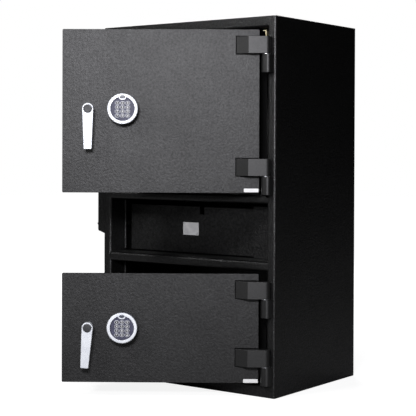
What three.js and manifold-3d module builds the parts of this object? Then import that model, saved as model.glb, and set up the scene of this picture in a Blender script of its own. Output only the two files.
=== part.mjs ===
// Drop safe with two keypad doors, one above the other, and a deposit drawer in the bay between them.
// Millimetres, +Z up. The front looks along -Y, and the hinges are on the +X side.
// The origin is the centre of the underside.
import * as THREE from "three";
import { mergeVertices } from "three/addons/utils/BufferGeometryUtils.js";
import Module from "manifold-3d";

const wasm = await Module();
wasm.setup();

// Cabinet
const WIDTH = 602;
const DEPTH = 422;
const HEIGHT = 1016;
const BODY_STEEL = 5; // front, sides, top and floor
const BACK_STEEL = 5;
const EDGE_RADIUS = 6; // folded vertical edges
const FIT_GAP = 0.3; // between pieces that touch
const CUT = 2; // overrun of each cut past the face that it opens

// Front face, from the floor up; the upper opening takes what is left of the height
const BASE_RAIL = 34;
const LOWER_OPENING = 301.5;
const LOWER_BAR = 26.5;
const BAY_OPENING = 154.5;
const UPPER_BAR = 23;
const HEAD_RAIL = 31;
const JAMB = 27.5;
const RETURN_DEPTH = 68; // from the front face to the rear edge of the returns
const RETURN_STEEL = 5;
const SHELF_STEEL = 4;

// Deposit drawer
const DRAWER_SET_BACK = 80; // of the drawer's front from the cabinet's front
const DRAWER_FRONT_STEEL = 8;
const DRAWER_LEFT_GAP = 11.5; // to the return on the left
const DRAWER_TOP_GAP = 18.5; // to the top of the bay
const DRAWER_FLOOR_GAP = 0.4;
const DRAWER_LIFT = 3; // of the front's lower edge over the bay's floor
const TRAY_BACK_GAP = 37; // from the tray to the back panel
const DRAWER_STEEL = 2;
const DRAWER_SIDE_INSET = 12; // of the tray from the ends of the front
const TRAY_HEIGHT = 108;
const TRAY_DROP_LENGTH = 120; // bottomless rear part of the tray
const NOTCH_WIDTH = 16;
const NOTCH_DEPTH = 23;
const RUNNER_HEIGHT = 6;
const RUNNER_REACH = 5;
const RUNNER_RISE = 10; // of the runner's lower edge over the bay's floor
const RUNNER_PLAY = 0.6;
const GUIDE_STEEL = 3;
const GUIDE_BACK_GAP = 42; // from the guides' ends to the back of the tray
const GUIDE_SET_BACK = 10; // behind the front of the tray
const DROP_WIDTH = 300; // opening in the bay's floor
const DROP_LENGTH = 100;
const DROP_INSET = 8; // of the opening's rear edge from the back of the tray
const KEEPER_LENGTH = 8;
const KEEPER_GAP = 4; // to the cam and to the plug's shaft
const KEEPER_HEIGHT = 18;
const KEEPER_OVERLAP = 3; // of the keeper over the cam, side to side

// Fixed angle to the right of the drawer
const FILLER_WIDTH = 88;
const FILLER_HEIGHT = 143;
const FILLER_STEEL = 3;
const FILLER_FOLD = 22;
const FILLER_GAP = 4; // to the drawer's front

// Lock on the left side wall that holds the drawer
const HOUSING_SET_BACK = 5;
const HOUSING_LENGTH = 104;
const HOUSING_PROUD = 26;
const HOUSING_LOW = 413;
const HOUSING_HEIGHT = 132;
const HOUSING_FLARE = 6; // rise of the sloping lower and upper ends
const HOUSING_ROUND = 7;
const HOUSING_WALL = 6;
const PLUG_RADIUS = 7;
const PLUG_HEAD_RADIUS = 9;
const PLUG_HEAD = 3;
const PLUG_PLAY = 0.4;
const PLUG_SET_BACK = 94; // of the plug's axis from the cabinet's front
const PLUG_RISE = 28; // of the plug's axis over the housing's lower end
const CAM_LENGTH = 22;
const CAM_WIDTH = 10;
const CAM_STEEL = 4;
const CAM_GAP = 3; // from the cam to the left end of the drawer's front

// Doors
const DOOR_STEEL = 12;
const DOOR_SIDE_GAP = 11.3;
const DOOR_END_GAP = 5.3;
const DOOR_CORNER = 3;
const DOOR_REST_ANGLE = 35.6; // degrees open
const LOWER_HANDLE_TURN = 4; // degrees that the lower lever is turned at rest

// Hinges
const HINGE_INSET = 21.5; // of the pin's axis from the cabinet's right side
const HINGE_PROUD = 12.5; // of the pin's axis from the cabinet's front
const HINGE_TOP_DROP = 65; // from the door's top to the joint of its upper hinge
const HINGE_LOW_RISE = 46; // from the door's bottom to the joint of its lower hinge
const ARM_HEIGHT = 45.5;
const ARM_FLAT = 47; // from the axis to the start of the ramp
const ARM_REACH = 78.5; // from the axis to the foot of the ramp
const ARM_FOOT = 4; // thickness at the foot of the ramp
const KNUCKLE_HEIGHT = 50;
const KNUCKLE_ROUND = 8;
const KNUCKLE_END_GAP = 1; // from the leaf's end to the cabinet's side
const WASHER_GAP = 1.8;
const PIN_RADIUS = 6;
const PIN_RISE = 32;
const PIN_PLAY = 0.3;

// Boltwork behind each door
const PAN_INSET = 26;
const PAN_BACK = 100; // from the door's face to the back of the pan
const PAN_STEEL = 2.5;
const BOLT_RADIUS = 12.5;
const BOLT_PLAY = 0.5;
const BOLT_SET_BACK = 82; // of the bolts' axes from the door's face
const BOLT_THROW = 28;
const BOLT_SHORT = 3; // of a drawn bolt's end from the door's edge
const BAR_WIDTH = 44;
const BAR_STEEL = 6;
const BAR_END_GAP = 7; // from the bar's ends to the pan
const BOLT_END_INSET = 57; // of the outer bolts from the door's ends
const DEAD_BAR_STEEL = 14;
const DEAD_BAR_CLEARANCE = 3; // behind the return
const DEAD_BAR_OVERHANG = 5; // past the pin's axis
const DEAD_BAR_INSET = 24;
const UPPER_BOLT_SHARES = [0, 0.3, 0.7, 1]; // of the way from the lowest bolt to the highest
const LOWER_BOLT_SHARES = [0, 1];

// Lever, shaft and crank
const HANDLE_FROM_EDGE = 72.4; // from the door's free edge
const ROW_RISE = 4.5; // of the lever's and the keypad's centres over the door's centre
const LEVER_LENGTH = 108;
const LEVER_TOP_RADIUS = 15;
const LEVER_END_HALF = 10.6;
const LEVER_THICKNESS = 13;
const LEVER_BEVEL = 2.5;
const LEVER_END_ROUND = 4;
const LEVER_STANDOFF = 29; // of the lever's back from the door
const NECK_RADIUS = 11.5;
const NECK_GAP = 0.6;
const SHAFT_RADIUS = 6;
const SHAFT_PLAY = 0.5;
const SOCKET_DEPTH = 22;
const CRANK_STEEL = 5;
const CRANK_HUB_RADIUS = 9;
const CRANK_HALF = 6;
const CRANK_GAP = 1;
const CRANK_PIN_RADIUS = 4;
const CRANK_PIN_END = 2; // past the bar
const SLOT_PLAY = 0.9;
const HALF_TURN = 45; // degrees of the crank to each side of straight down

// Electronic lock
const KEYPAD_FROM_EDGE = 163.6;
const LOCK_LENGTH = 82;
const LOCK_HEIGHT = 70;
const LOCK_THICKNESS = 30;
const LOCK_END_WALL = 10; // behind the bolt
const LOCK_BOLT_RISE = 20; // of the bolt's centre over the row
const LOCK_BOLT_HEIGHT = 16;
const LOCK_BOLT_THICKNESS = 10;
const LOCK_BOLT_LENGTH = 58;
const LOCK_BOLT_TRAVEL = 26;
const LOCK_BOLT_GAP = 2; // to the bar's stop when the bolts are drawn
const LOCK_BOLT_PLAY = 0.4;
const STOP_WIDTH = 10;
const STOP_OVERLAP = 9; // of the stop over the lock bolt, front to back

// Keypad
const RING_RADIUS = 40.5;
const RING_INNER = 31.5;
const RING_THICKNESS = 8;
const RING_CHAMFER = 2.2;
const KEYPAD_PROUD = 38;
const FACE_RECESS = 3;
const HOUSING_BASE_RADIUS = 37.5;
const HOUSING_TOP_RADIUS = 39;
const LOBE_RISE = 31; // of the indicator's centre over the keypad's centre
const LOBE_HALF_WIDTH = 11.5;
const LOBE_HALF_HEIGHT = 9;
const WINDOW_HALF_WIDTH = 6.8;
const WINDOW_HALF_HEIGHT = 4.2;
const KEY_PITCH_X = 13.8;
const KEY_PITCH_Z = 11.2;
const KEY_HALF_WIDTH = 6;
const KEY_HALF_HEIGHT = 4.8;
const KEY_PLAY = 0.35;
const KEY_PROUD = 1.4;
const KEY_STEM = 4;
const KEY_TRAVEL = 1;
const KEY_DROP = 1.5; // of the keys' centre under the keypad's centre
const KEY_BEVEL = 0.5;
const KEY_NAMES = [
  ["1", "2", "3"],
  ["4", "5", "6"],
  ["7", "8", "9"],
  ["star", "0", "hash"],
];

// Sides of round shapes
const LARGE_ROUND = 48;
const MEDIUM_ROUND = 24;
const SMALL_ROUND = 16;
const CORNER_STEPS = 4;

// Levels and places that follow from the sizes above
const HALF_WIDTH = WIDTH / 2;
const FRONT = -DEPTH / 2;
const BACK = DEPTH / 2;
const OPENING_HALF = HALF_WIDTH - JAMB;
const INNER_HALF = HALF_WIDTH - BODY_STEEL;
const LOWER_OPENING_LOW = BASE_RAIL;
const LOWER_OPENING_HIGH = BASE_RAIL + LOWER_OPENING;
const BAY_LOW = LOWER_OPENING_HIGH + LOWER_BAR;
const BAY_HIGH = BAY_LOW + BAY_OPENING;
const UPPER_OPENING_LOW = BAY_HIGH + UPPER_BAR;
const UPPER_OPENING_HIGH = HEIGHT - HEAD_RAIL;
const RETURN_REAR = FRONT + RETURN_DEPTH;
const BACK_FACE = BACK - BACK_STEEL; // inner face of the back panel
const HINGE_X = HALF_WIDTH - HINGE_INSET;
const HINGE_Y = FRONT - HINGE_PROUD;
const HINGE_HALF = HINGE_PROUD - FIT_GAP; // half of an arm's and a knuckle's thickness
const DOOR_LEFT = -OPENING_HALF + DOOR_SIDE_GAP - HINGE_X; // from the pin's axis
const DOOR_RIGHT = OPENING_HALF - DOOR_SIDE_GAP - HINGE_X;
const DOOR_FACE = HINGE_PROUD; // behind the pin's axis
const DOOR_REAR = DOOR_FACE + DOOR_STEEL;
const CRANK_RADIUS = BOLT_THROW / 2 / Math.sin(radians(HALF_TURN));
const DRAWER_FACE = FRONT + DRAWER_SET_BACK;
const DRAWER_LEFT = -OPENING_HALF + DRAWER_LEFT_GAP;
const FILLER_LEFT = OPENING_HALF - FILLER_WIDTH;
const DRAWER_RIGHT = FILLER_LEFT - FILLER_GAP;
const TRAY_LEFT = DRAWER_LEFT + DRAWER_SIDE_INSET;
const TRAY_RIGHT = DRAWER_RIGHT - DRAWER_SIDE_INSET;
const TRAY_FRONT = DRAWER_FACE + DRAWER_FRONT_STEEL + FIT_GAP;
const TRAY_REAR = BACK_FACE - TRAY_BACK_GAP;
const TRAY_LOW = BAY_LOW + DRAWER_FLOOR_GAP;
const PLUG_Y = FRONT + PLUG_SET_BACK;
const PLUG_Z = HOUSING_LOW + PLUG_RISE;
const CAM_RIGHT = DRAWER_LEFT - CAM_GAP;

// Materials
const paint = new THREE.MeshStandardMaterial({ color: 0x242527, roughness: 0.62, metalness: 0.1 });
const innerPaint = new THREE.MeshStandardMaterial({ color: 0x1c1d1e, roughness: 0.7, metalness: 0.1 });
const satinChrome = new THREE.MeshStandardMaterial({ color: 0xd9dde2, roughness: 0.28, metalness: 1 });
const zincSteel = new THREE.MeshStandardMaterial({ color: 0xa9adb2, roughness: 0.42, metalness: 1 });
const housingPlastic = new THREE.MeshStandardMaterial({ color: 0x3a3c44, roughness: 0.55, metalness: 0 });
const keyRubber = new THREE.MeshStandardMaterial({ color: 0x8b8d96, roughness: 0.6, metalness: 0 });
const brass = new THREE.MeshStandardMaterial({ color: 0xb9974f, roughness: 0.35, metalness: 1 });

function radians(degrees) {
  return (degrees * Math.PI) / 180;
}

// A closed geometry as a solid; a face whose corners merged is dropped
function toSolid(geometry) {
  const bare = geometry.clone();
  bare.deleteAttribute("normal");
  bare.deleteAttribute("uv");
  const merged = mergeVertices(bare);
  const corners = merged.index.array;
  const kept = [];
  for (let i = 0; i < corners.length; i += 3) {
    const [a, b, c] = [corners[i], corners[i + 1], corners[i + 2]];
    if (a !== b && b !== c && c !== a) kept.push(a, b, c);
  }
  const vertProperties = merged.attributes.position.array;
  return new wasm.Manifold(new wasm.Mesh({ numProp: 3, vertProperties, triVerts: new Uint32Array(kept) }));
}

function toMesh(name, solid, material) {
  const { vertProperties, triVerts } = solid.getMesh();
  const geometry = new THREE.BufferGeometry();
  geometry.setAttribute("position", new THREE.BufferAttribute(new Float32Array(vertProperties), 3));
  geometry.setIndex(new THREE.BufferAttribute(new Uint32Array(triVerts), 1));
  geometry.computeVertexNormals();
  const mesh = new THREE.Mesh(geometry, material);
  mesh.name = name;
  return mesh;
}

function block(x0, x1, y0, y1, z0, z1) {
  const geometry = new THREE.BoxGeometry(x1 - x0, y1 - y0, z1 - z0);
  geometry.translate((x0 + x1) / 2, (y0 + y1) / 2, (z0 + z1) / 2);
  return toSolid(geometry);
}

// Cylinders along each axis; the last two places are those of the axis itself
function rodX(radius, x0, x1, y, z, sides) {
  const geometry = new THREE.CylinderGeometry(radius, radius, x1 - x0, sides);
  geometry.rotateZ(Math.PI / 2);
  geometry.translate((x0 + x1) / 2, y, z);
  return toSolid(geometry);
}

function rodY(radius, y0, y1, x, z, sides) {
  const geometry = new THREE.CylinderGeometry(radius, radius, y1 - y0, sides);
  geometry.translate(x, (y0 + y1) / 2, z);
  return toSolid(geometry);
}

function rodZ(radius, z0, z1, x, y, sides) {
  const geometry = new THREE.CylinderGeometry(radius, radius, z1 - z0, sides);
  geometry.rotateX(Math.PI / 2);
  geometry.translate(x, y, (z0 + z1) / 2);
  return toSolid(geometry);
}

// An elliptic rod along Y, of half the given width and height
function ovalY(halfWidth, halfHeight, y0, y1, x, z, sides) {
  const geometry = new THREE.CylinderGeometry(1, 1, y1 - y0, sides);
  geometry.scale(halfWidth, 1, halfHeight);
  geometry.translate(x, (y0 + y1) / 2, z);
  return toSolid(geometry);
}

// A plan outline raised from z0 to z1
function raise(shape, z0, z1) {
  const geometry = new THREE.ExtrudeGeometry(shape, {
    depth: z1 - z0,
    bevelEnabled: false,
    curveSegments: CORNER_STEPS,
  });
  geometry.translate(0, 0, z0);
  return toSolid(geometry);
}

// A front outline, drawn in X and Z, from y0 back to y1; a bevel runs round its front edge
function deepen(shape, y0, y1, bevel = 0) {
  const geometry = new THREE.ExtrudeGeometry(shape, {
    depth: y1 - y0 - 2 * bevel,
    bevelEnabled: bevel > 0,
    bevelThickness: bevel,
    bevelSize: bevel,
    bevelOffset: -bevel,
    bevelSegments: 1,
    curveSegments: CORNER_STEPS,
  });
  geometry.rotateX(Math.PI / 2);
  geometry.translate(0, y1 - bevel, 0);
  return toSolid(geometry);
}

// A profile of radius and depth turned round an axis along Y, through x and z
function turn(profile, x, z, sides) {
  const points = profile.map(([radius, y]) => new THREE.Vector2(radius, y));
  const geometry = new THREE.LatheGeometry(points, sides);
  geometry.translate(x, 0, z);
  return toSolid(geometry);
}

function roundedRectangle(x0, x1, y0, y1, radius) {
  const shape = new THREE.Shape();
  shape.moveTo(x0 + radius, y0);
  shape.lineTo(x1 - radius, y0);
  shape.absarc(x1 - radius, y0 + radius, radius, -Math.PI / 2, 0, false);
  shape.lineTo(x1, y1 - radius);
  shape.absarc(x1 - radius, y1 - radius, radius, 0, Math.PI / 2, false);
  shape.lineTo(x0 + radius, y1);
  shape.absarc(x0 + radius, y1 - radius, radius, Math.PI / 2, Math.PI, false);
  shape.lineTo(x0, y0 + radius);
  shape.absarc(x0 + radius, y0 + radius, radius, Math.PI, 1.5 * Math.PI, false);
  return shape;
}

// Wrap: sides, top, floor and front face with its three openings, open at the back
function safeShell() {
  const outline = roundedRectangle(-HALF_WIDTH, HALF_WIDTH, FRONT, BACK, EDGE_RADIUS);
  const openings = [
    [LOWER_OPENING_LOW, LOWER_OPENING_HIGH],
    [BAY_LOW, BAY_HIGH],
    [UPPER_OPENING_LOW, UPPER_OPENING_HIGH],
  ];
  let shell = raise(outline, 0, HEIGHT);
  shell = shell.subtract(
    block(-INNER_HALF, INNER_HALF, FRONT + BODY_STEEL, BACK + CUT, BODY_STEEL, HEIGHT - BODY_STEEL),
  );
  for (const [low, high] of openings) {
    shell = shell.subtract(
      block(-OPENING_HALF, OPENING_HALF, FRONT - CUT, FRONT + BODY_STEEL + CUT, low, high),
    );
  }
  const holeRadius = PLUG_RADIUS + PLUG_PLAY;
  return shell.subtract(
    rodX(holeRadius, -HALF_WIDTH - CUT, -INNER_HALF + CUT, PLUG_Y, PLUG_Z, MEDIUM_ROUND),
  );
}

function backPanel() {
  const half = INNER_HALF - FIT_GAP;
  return block(-half, half, BACK_FACE, BACK, BODY_STEEL + FIT_GAP, HEIGHT - BODY_STEEL - FIT_GAP);
}

// Two uprights behind the jambs, joined by a strip above and below each opening
function returnFrame() {
  const front = FRONT + BODY_STEEL + FIT_GAP;
  const outer = OPENING_HALF + RETURN_STEEL;
  const low = LOWER_OPENING_LOW - RETURN_STEEL;
  const high = UPPER_OPENING_HIGH + RETURN_STEEL;
  const stripLevels = [
    low,
    LOWER_OPENING_HIGH,
    BAY_LOW - RETURN_STEEL,
    BAY_HIGH,
    UPPER_OPENING_LOW - RETURN_STEEL,
    UPPER_OPENING_HIGH,
  ];
  let frame = block(-outer, -OPENING_HALF, front, RETURN_REAR, low, high);
  frame = frame.add(block(OPENING_HALF, outer, front, RETURN_REAR, low, high));
  for (const level of stripLevels) {
    frame = frame.add(block(-outer, outer, front, RETURN_REAR, level, level + RETURN_STEEL));
  }
  return frame;
}

function upperShelf() {
  const half = INNER_HALF - FIT_GAP;
  const high = UPPER_OPENING_LOW;
  return block(-half, half, RETURN_REAR + FIT_GAP, BACK_FACE - FIT_GAP, high - SHELF_STEEL, high);
}

// Floor of the bay, with a guide along each side of the tray and the drop opening at the back
function bayFloor() {
  const half = INNER_HALF - FIT_GAP;
  const low = BAY_LOW - SHELF_STEEL;
  const rear = BACK_FACE - FIT_GAP;
  let floor = block(-half, half, RETURN_REAR + FIT_GAP, rear, low, BAY_LOW);
  const middle = (TRAY_LEFT + TRAY_RIGHT) / 2;
  const dropRear = TRAY_REAR - DROP_INSET;
  const dropLeft = middle - DROP_WIDTH / 2;
  floor = floor.subtract(
    block(dropLeft, dropLeft + DROP_WIDTH, dropRear - DROP_LENGTH, dropRear, low - CUT, BAY_LOW + CUT),
  );
  const guideFront = TRAY_FRONT + GUIDE_SET_BACK;
  const guideRear = TRAY_REAR - GUIDE_BACK_GAP;
  const capLow = BAY_LOW + RUNNER_RISE + RUNNER_HEIGHT + RUNNER_PLAY;
  const reach = RUNNER_REACH + RUNNER_PLAY;
  for (const [side, wall] of [
    [-1, TRAY_LEFT],
    [1, TRAY_RIGHT],
  ]) {
    const inner = wall + side * reach;
    const outer = inner + side * GUIDE_STEEL;
    const lip = wall + side * RUNNER_PLAY;
    const upright = [Math.min(inner, outer), Math.max(inner, outer)];
    const cap = [Math.min(lip, outer), Math.max(lip, outer)];
    floor = floor.add(block(...upright, guideFront, guideRear, low, capLow + GUIDE_STEEL));
    floor = floor.add(block(...cap, guideFront, guideRear, capLow, capLow + GUIDE_STEEL));
  }
  return floor;
}

// Angle beside the drawer: a face behind the return and a fold towards the back
function bayFiller() {
  const front = RETURN_REAR + FIT_GAP;
  const low = BAY_LOW + FIT_GAP;
  const high = BAY_LOW + FILLER_HEIGHT;
  const right = OPENING_HALF + RETURN_STEEL;
  const face = block(FILLER_LEFT, right, front, front + FILLER_STEEL, low, high);
  return face.add(block(FILLER_LEFT, FILLER_LEFT + FILLER_STEEL, front, front + FILLER_FOLD, low, high));
}

function drawerFront() {
  const high = BAY_HIGH - DRAWER_TOP_GAP;
  const rear = DRAWER_FACE + DRAWER_FRONT_STEEL;
  const plate = block(DRAWER_LEFT, DRAWER_RIGHT, DRAWER_FACE, rear, BAY_LOW + DRAWER_LIFT, high);
  const notch = NOTCH_WIDTH / 2;
  return plate.subtract(block(-notch, notch, DRAWER_FACE - CUT, rear + CUT, high - NOTCH_DEPTH, high + CUT));
}

// Tray: floored in front, bottomless at the back, with a runner on each side and the lock's keeper
function drawerBox() {
  const high = TRAY_LOW + TRAY_HEIGHT;
  let box = block(TRAY_LEFT, TRAY_RIGHT, TRAY_FRONT, TRAY_REAR, TRAY_LOW, high);
  box = box.subtract(
    block(
      TRAY_LEFT + DRAWER_STEEL,
      TRAY_RIGHT - DRAWER_STEEL,
      TRAY_FRONT + DRAWER_STEEL,
      TRAY_REAR - DRAWER_STEEL,
      TRAY_LOW + DRAWER_STEEL,
      high + CUT,
    ),
  );
  box = box.subtract(
    block(
      TRAY_LEFT + DRAWER_STEEL,
      TRAY_RIGHT - DRAWER_STEEL,
      TRAY_REAR - TRAY_DROP_LENGTH,
      TRAY_REAR - DRAWER_STEEL,
      TRAY_LOW - CUT,
      TRAY_LOW + DRAWER_STEEL + CUT,
    ),
  );
  const runnerLow = BAY_LOW + RUNNER_RISE;
  const half = DRAWER_STEEL / 2;
  for (const [x0, x1] of [
    [TRAY_LEFT - RUNNER_REACH, TRAY_LEFT + half],
    [TRAY_RIGHT - half, TRAY_RIGHT + RUNNER_REACH],
  ]) {
    box = box.add(block(x0, x1, TRAY_FRONT, TRAY_REAR, runnerLow, runnerLow + RUNNER_HEIGHT));
  }
  const keeperFront = PLUG_Y + CAM_WIDTH / 2 + KEEPER_GAP;
  const keeperLow = PLUG_Z + PLUG_RADIUS + KEEPER_GAP;
  return box.add(
    block(
      CAM_RIGHT - KEEPER_OVERLAP,
      TRAY_LEFT + half,
      keeperFront,
      keeperFront + KEEPER_LENGTH,
      keeperLow,
      keeperLow + KEEPER_HEIGHT,
    ),
  );
}

// Guard on the left wall with sloping ends; it is hollow towards the wall
function sideLockHousing() {
  const wall = -HALF_WIDTH - FIT_GAP;
  const outer = wall - HOUSING_PROUD;
  const high = HOUSING_LOW + HOUSING_HEIGHT;
  const front = FRONT + HOUSING_SET_BACK;
  const rear = front + HOUSING_LENGTH;
  const outerLow = HOUSING_LOW + HOUSING_FLARE;
  const outerHigh = high - HOUSING_FLARE;
  const shape = new THREE.Shape();
  shape.moveTo(wall, HOUSING_LOW);
  shape.lineTo(outer + HOUSING_ROUND, outerLow);
  shape.quadraticCurveTo(outer, outerLow, outer, outerLow + HOUSING_ROUND);
  shape.lineTo(outer, outerHigh - HOUSING_ROUND);
  shape.quadraticCurveTo(outer, outerHigh, outer + HOUSING_ROUND, outerHigh);
  shape.lineTo(wall, high);
  let guard = deepen(shape, front, rear);
  const inset = HOUSING_WALL + HOUSING_FLARE;
  guard = guard.subtract(
    block(
      outer + HOUSING_WALL,
      wall + CUT,
      front + HOUSING_WALL,
      rear - HOUSING_WALL,
      HOUSING_LOW + inset,
      high - inset,
    ),
  );
  const hole = rodX(PLUG_RADIUS + PLUG_PLAY, outer - CUT, wall + CUT, PLUG_Y, PLUG_Z, MEDIUM_ROUND);
  return guard.subtract(hole);
}

// Plug: head outside the guard, shaft through the wall, and the cam beside the tray
function sideLockPlug() {
  const headRight = -HALF_WIDTH - FIT_GAP - HOUSING_PROUD - FIT_GAP;
  const headLeft = headRight - PLUG_HEAD;
  const camLeft = CAM_RIGHT - CAM_STEEL;
  const half = CAM_WIDTH / 2;
  const head = rodX(PLUG_HEAD_RADIUS, headLeft, headRight, PLUG_Y, PLUG_Z, MEDIUM_ROUND);
  const shaft = rodX(PLUG_RADIUS, headLeft + PLUG_HEAD / 2, CAM_RIGHT, PLUG_Y, PLUG_Z, MEDIUM_ROUND);
  const cam = block(camLeft, CAM_RIGHT, PLUG_Y - CAM_LENGTH, PLUG_Y, PLUG_Z - half, PLUG_Z + half);
  return head.add(shaft).add(cam);
}

// Cabinet leaf of a hinge, drawn about the pin's axis, with the pin standing in it
function hingeKnuckle(joint) {
  const right = HINGE_INSET - KNUCKLE_END_GAP;
  const shape = new THREE.Shape();
  shape.moveTo(0, HINGE_HALF);
  shape.absarc(0, 0, HINGE_HALF, Math.PI / 2, 1.5 * Math.PI, false);
  shape.lineTo(right - KNUCKLE_ROUND, -HINGE_HALF);
  shape.absarc(right - KNUCKLE_ROUND, -HINGE_HALF + KNUCKLE_ROUND, KNUCKLE_ROUND, -Math.PI / 2, 0, false);
  shape.lineTo(right, HINGE_HALF);
  const leaf = raise(shape, joint - KNUCKLE_HEIGHT, joint - WASHER_GAP);
  return leaf.add(rodZ(PIN_RADIUS, joint - KNUCKLE_HEIGHT / 2, joint + PIN_RISE, 0, 0, MEDIUM_ROUND));
}

// Door leaf of a hinge: a block on the door's face that turns on the pin and ramps down to the left
function hingeArm(joint) {
  const shape = new THREE.Shape();
  shape.moveTo(0, -HINGE_HALF);
  shape.absarc(0, 0, HINGE_HALF, -Math.PI / 2, Math.PI / 2, false);
  shape.lineTo(-ARM_REACH, HINGE_HALF);
  shape.lineTo(-ARM_REACH, HINGE_HALF - ARM_FOOT);
  shape.lineTo(-ARM_FLAT, -HINGE_HALF);
  const arm = raise(shape, joint, joint + ARM_HEIGHT);
  const bore = rodZ(PIN_RADIUS + PIN_PLAY, joint - CUT, joint + PIN_RISE + CUT, 0, 0, MEDIUM_ROUND);
  return arm.subtract(bore);
}

function doorPlate(door) {
  const outline = roundedRectangle(DOOR_LEFT, DOOR_RIGHT, door.low, door.high, DOOR_CORNER);
  const plate = deepen(outline, DOOR_FACE, DOOR_REAR);
  return plate.subtract(
    rodY(SHAFT_RADIUS + SHAFT_PLAY, DOOR_FACE - CUT, DOOR_REAR + CUT, door.handleX, door.row, MEDIUM_ROUND),
  );
}

// Pan over the boltwork, open towards the door, with the fixed bar that locks behind the hinge-side return
function doorPan(door) {
  const left = DOOR_LEFT + PAN_INSET;
  const right = DOOR_RIGHT - PAN_INSET;
  const front = DOOR_REAR + FIT_GAP;
  const rear = DOOR_FACE + PAN_BACK;
  const low = door.low + PAN_INSET;
  const high = door.high - PAN_INSET;
  let pan = block(left, right, front, rear, low, high);
  pan = pan.subtract(
    block(
      left + PAN_STEEL,
      right - PAN_STEEL,
      front - CUT,
      rear - PAN_STEEL,
      low + PAN_STEEL,
      high - PAN_STEEL,
    ),
  );
  for (const z of door.boltLevels) {
    pan = pan.subtract(
      rodX(BOLT_RADIUS + BOLT_PLAY, left - CUT, left + PAN_STEEL + CUT, door.boltY, z, MEDIUM_ROUND),
    );
  }
  const deadFront = DOOR_FACE + RETURN_DEPTH + DEAD_BAR_CLEARANCE;
  return pan.add(
    block(
      right - PAN_STEEL / 2,
      DEAD_BAR_OVERHANG,
      deadFront,
      deadFront + DEAD_BAR_STEEL,
      low + DEAD_BAR_INSET,
      high - DEAD_BAR_INSET,
    ),
  );
}

// Bar with its live bolts, the crank's slot and the stop that meets the lock's bolt
function boltCarriage(door) {
  const centre = door.handleX + BOLT_THROW / 2;
  const left = centre - BAR_WIDTH / 2;
  const right = centre + BAR_WIDTH / 2;
  const front = door.boltY - BAR_STEEL / 2;
  const rear = door.boltY + BAR_STEEL / 2;
  const endInset = PAN_INSET + PAN_STEEL + BAR_END_GAP;
  const low = door.low + endInset;
  const high = door.high - endInset;
  let carriage = block(left, right, front, rear, low, high);
  for (const z of door.boltLevels) {
    carriage = carriage.add(rodX(BOLT_RADIUS, DOOR_LEFT + BOLT_SHORT, centre, door.boltY, z, MEDIUM_ROUND));
  }
  const slotHalf = CRANK_PIN_RADIUS + SLOT_PLAY;
  carriage = carriage.subtract(
    block(
      centre - slotHalf,
      centre + slotHalf,
      front - CUT,
      rear + CUT,
      door.row - CRANK_RADIUS - slotHalf,
      door.row - CRANK_RADIUS * Math.cos(radians(HALF_TURN)) + slotHalf,
    ),
  );
  return carriage.add(
    block(
      right - STOP_WIDTH,
      right,
      lockBoltY() + LOCK_BOLT_THICKNESS / 2 - STOP_OVERLAP,
      rear,
      door.row + LOCK_BOLT_RISE - LOCK_BOLT_HEIGHT / 2,
      door.row + LOCK_BOLT_RISE + LOCK_BOLT_HEIGHT / 2,
    ),
  );
}

// Depth of the lock bolt's middle behind the pin's axis
function lockBoltY() {
  return DOOR_REAR + FIT_GAP + LOCK_THICKNESS / 2;
}

function lockCase(door) {
  const left = door.keypadX - LOCK_LENGTH / 2;
  const half = LOCK_HEIGHT / 2;
  const front = DOOR_REAR + FIT_GAP;
  const rear = front + LOCK_THICKNESS;
  const middle = lockBoltY();
  const tall = LOCK_BOLT_HEIGHT / 2 + LOCK_BOLT_PLAY;
  const thick = LOCK_BOLT_THICKNESS / 2 + LOCK_BOLT_PLAY;
  const z = door.row + LOCK_BOLT_RISE;
  const depth = LOCK_LENGTH - LOCK_END_WALL;
  const body = block(left, left + LOCK_LENGTH, front, rear, door.row - half, door.row + half);
  return body.subtract(block(left - CUT, left + depth, middle - thick, middle + thick, z - tall, z + tall));
}

function lockBolt(door) {
  const left = door.handleX + BOLT_THROW / 2 + BAR_WIDTH / 2 + LOCK_BOLT_GAP;
  const thick = LOCK_BOLT_THICKNESS / 2;
  const tall = LOCK_BOLT_HEIGHT / 2;
  const z = door.row + LOCK_BOLT_RISE;
  return block(left, left + LOCK_BOLT_LENGTH, lockBoltY() - thick, lockBoltY() + thick, z - tall, z + tall);
}

// Lever, drawn about its own axis and hanging straight down: tapered bar, neck and blind socket
function handleLever() {
  const front = DOOR_FACE - LEVER_STANDOFF - LEVER_THICKNESS;
  const rear = DOOR_FACE - LEVER_STANDOFF;
  const shape = new THREE.Shape();
  const end = -LEVER_LENGTH;
  shape.moveTo(LEVER_TOP_RADIUS, 0);
  shape.absarc(0, 0, LEVER_TOP_RADIUS, 0, Math.PI, false);
  const corner = LEVER_END_HALF - LEVER_END_ROUND;
  shape.absarc(-corner, end + LEVER_END_ROUND, LEVER_END_ROUND, Math.PI, 1.5 * Math.PI, false);
  shape.absarc(corner, end + LEVER_END_ROUND, LEVER_END_ROUND, 1.5 * Math.PI, 2 * Math.PI, false);
  const geometry = new THREE.ExtrudeGeometry(shape, {
    depth: LEVER_THICKNESS - 2 * LEVER_BEVEL,
    bevelThickness: LEVER_BEVEL,
    bevelSize: LEVER_BEVEL,
    bevelOffset: -LEVER_BEVEL,
    bevelSegments: 2,
    curveSegments: SMALL_ROUND / 2,
  });
  geometry.rotateX(Math.PI / 2);
  geometry.translate(0, rear - LEVER_BEVEL, 0);
  let lever = toSolid(geometry);
  lever = lever.add(rodY(NECK_RADIUS, front + LEVER_BEVEL, DOOR_FACE - NECK_GAP, 0, 0, MEDIUM_ROUND));
  const socketFront = DOOR_FACE - NECK_GAP - SOCKET_DEPTH;
  return lever.subtract(rodY(SHAFT_RADIUS + PIN_PLAY, socketFront, DOOR_FACE, 0, 0, MEDIUM_ROUND));
}

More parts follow.
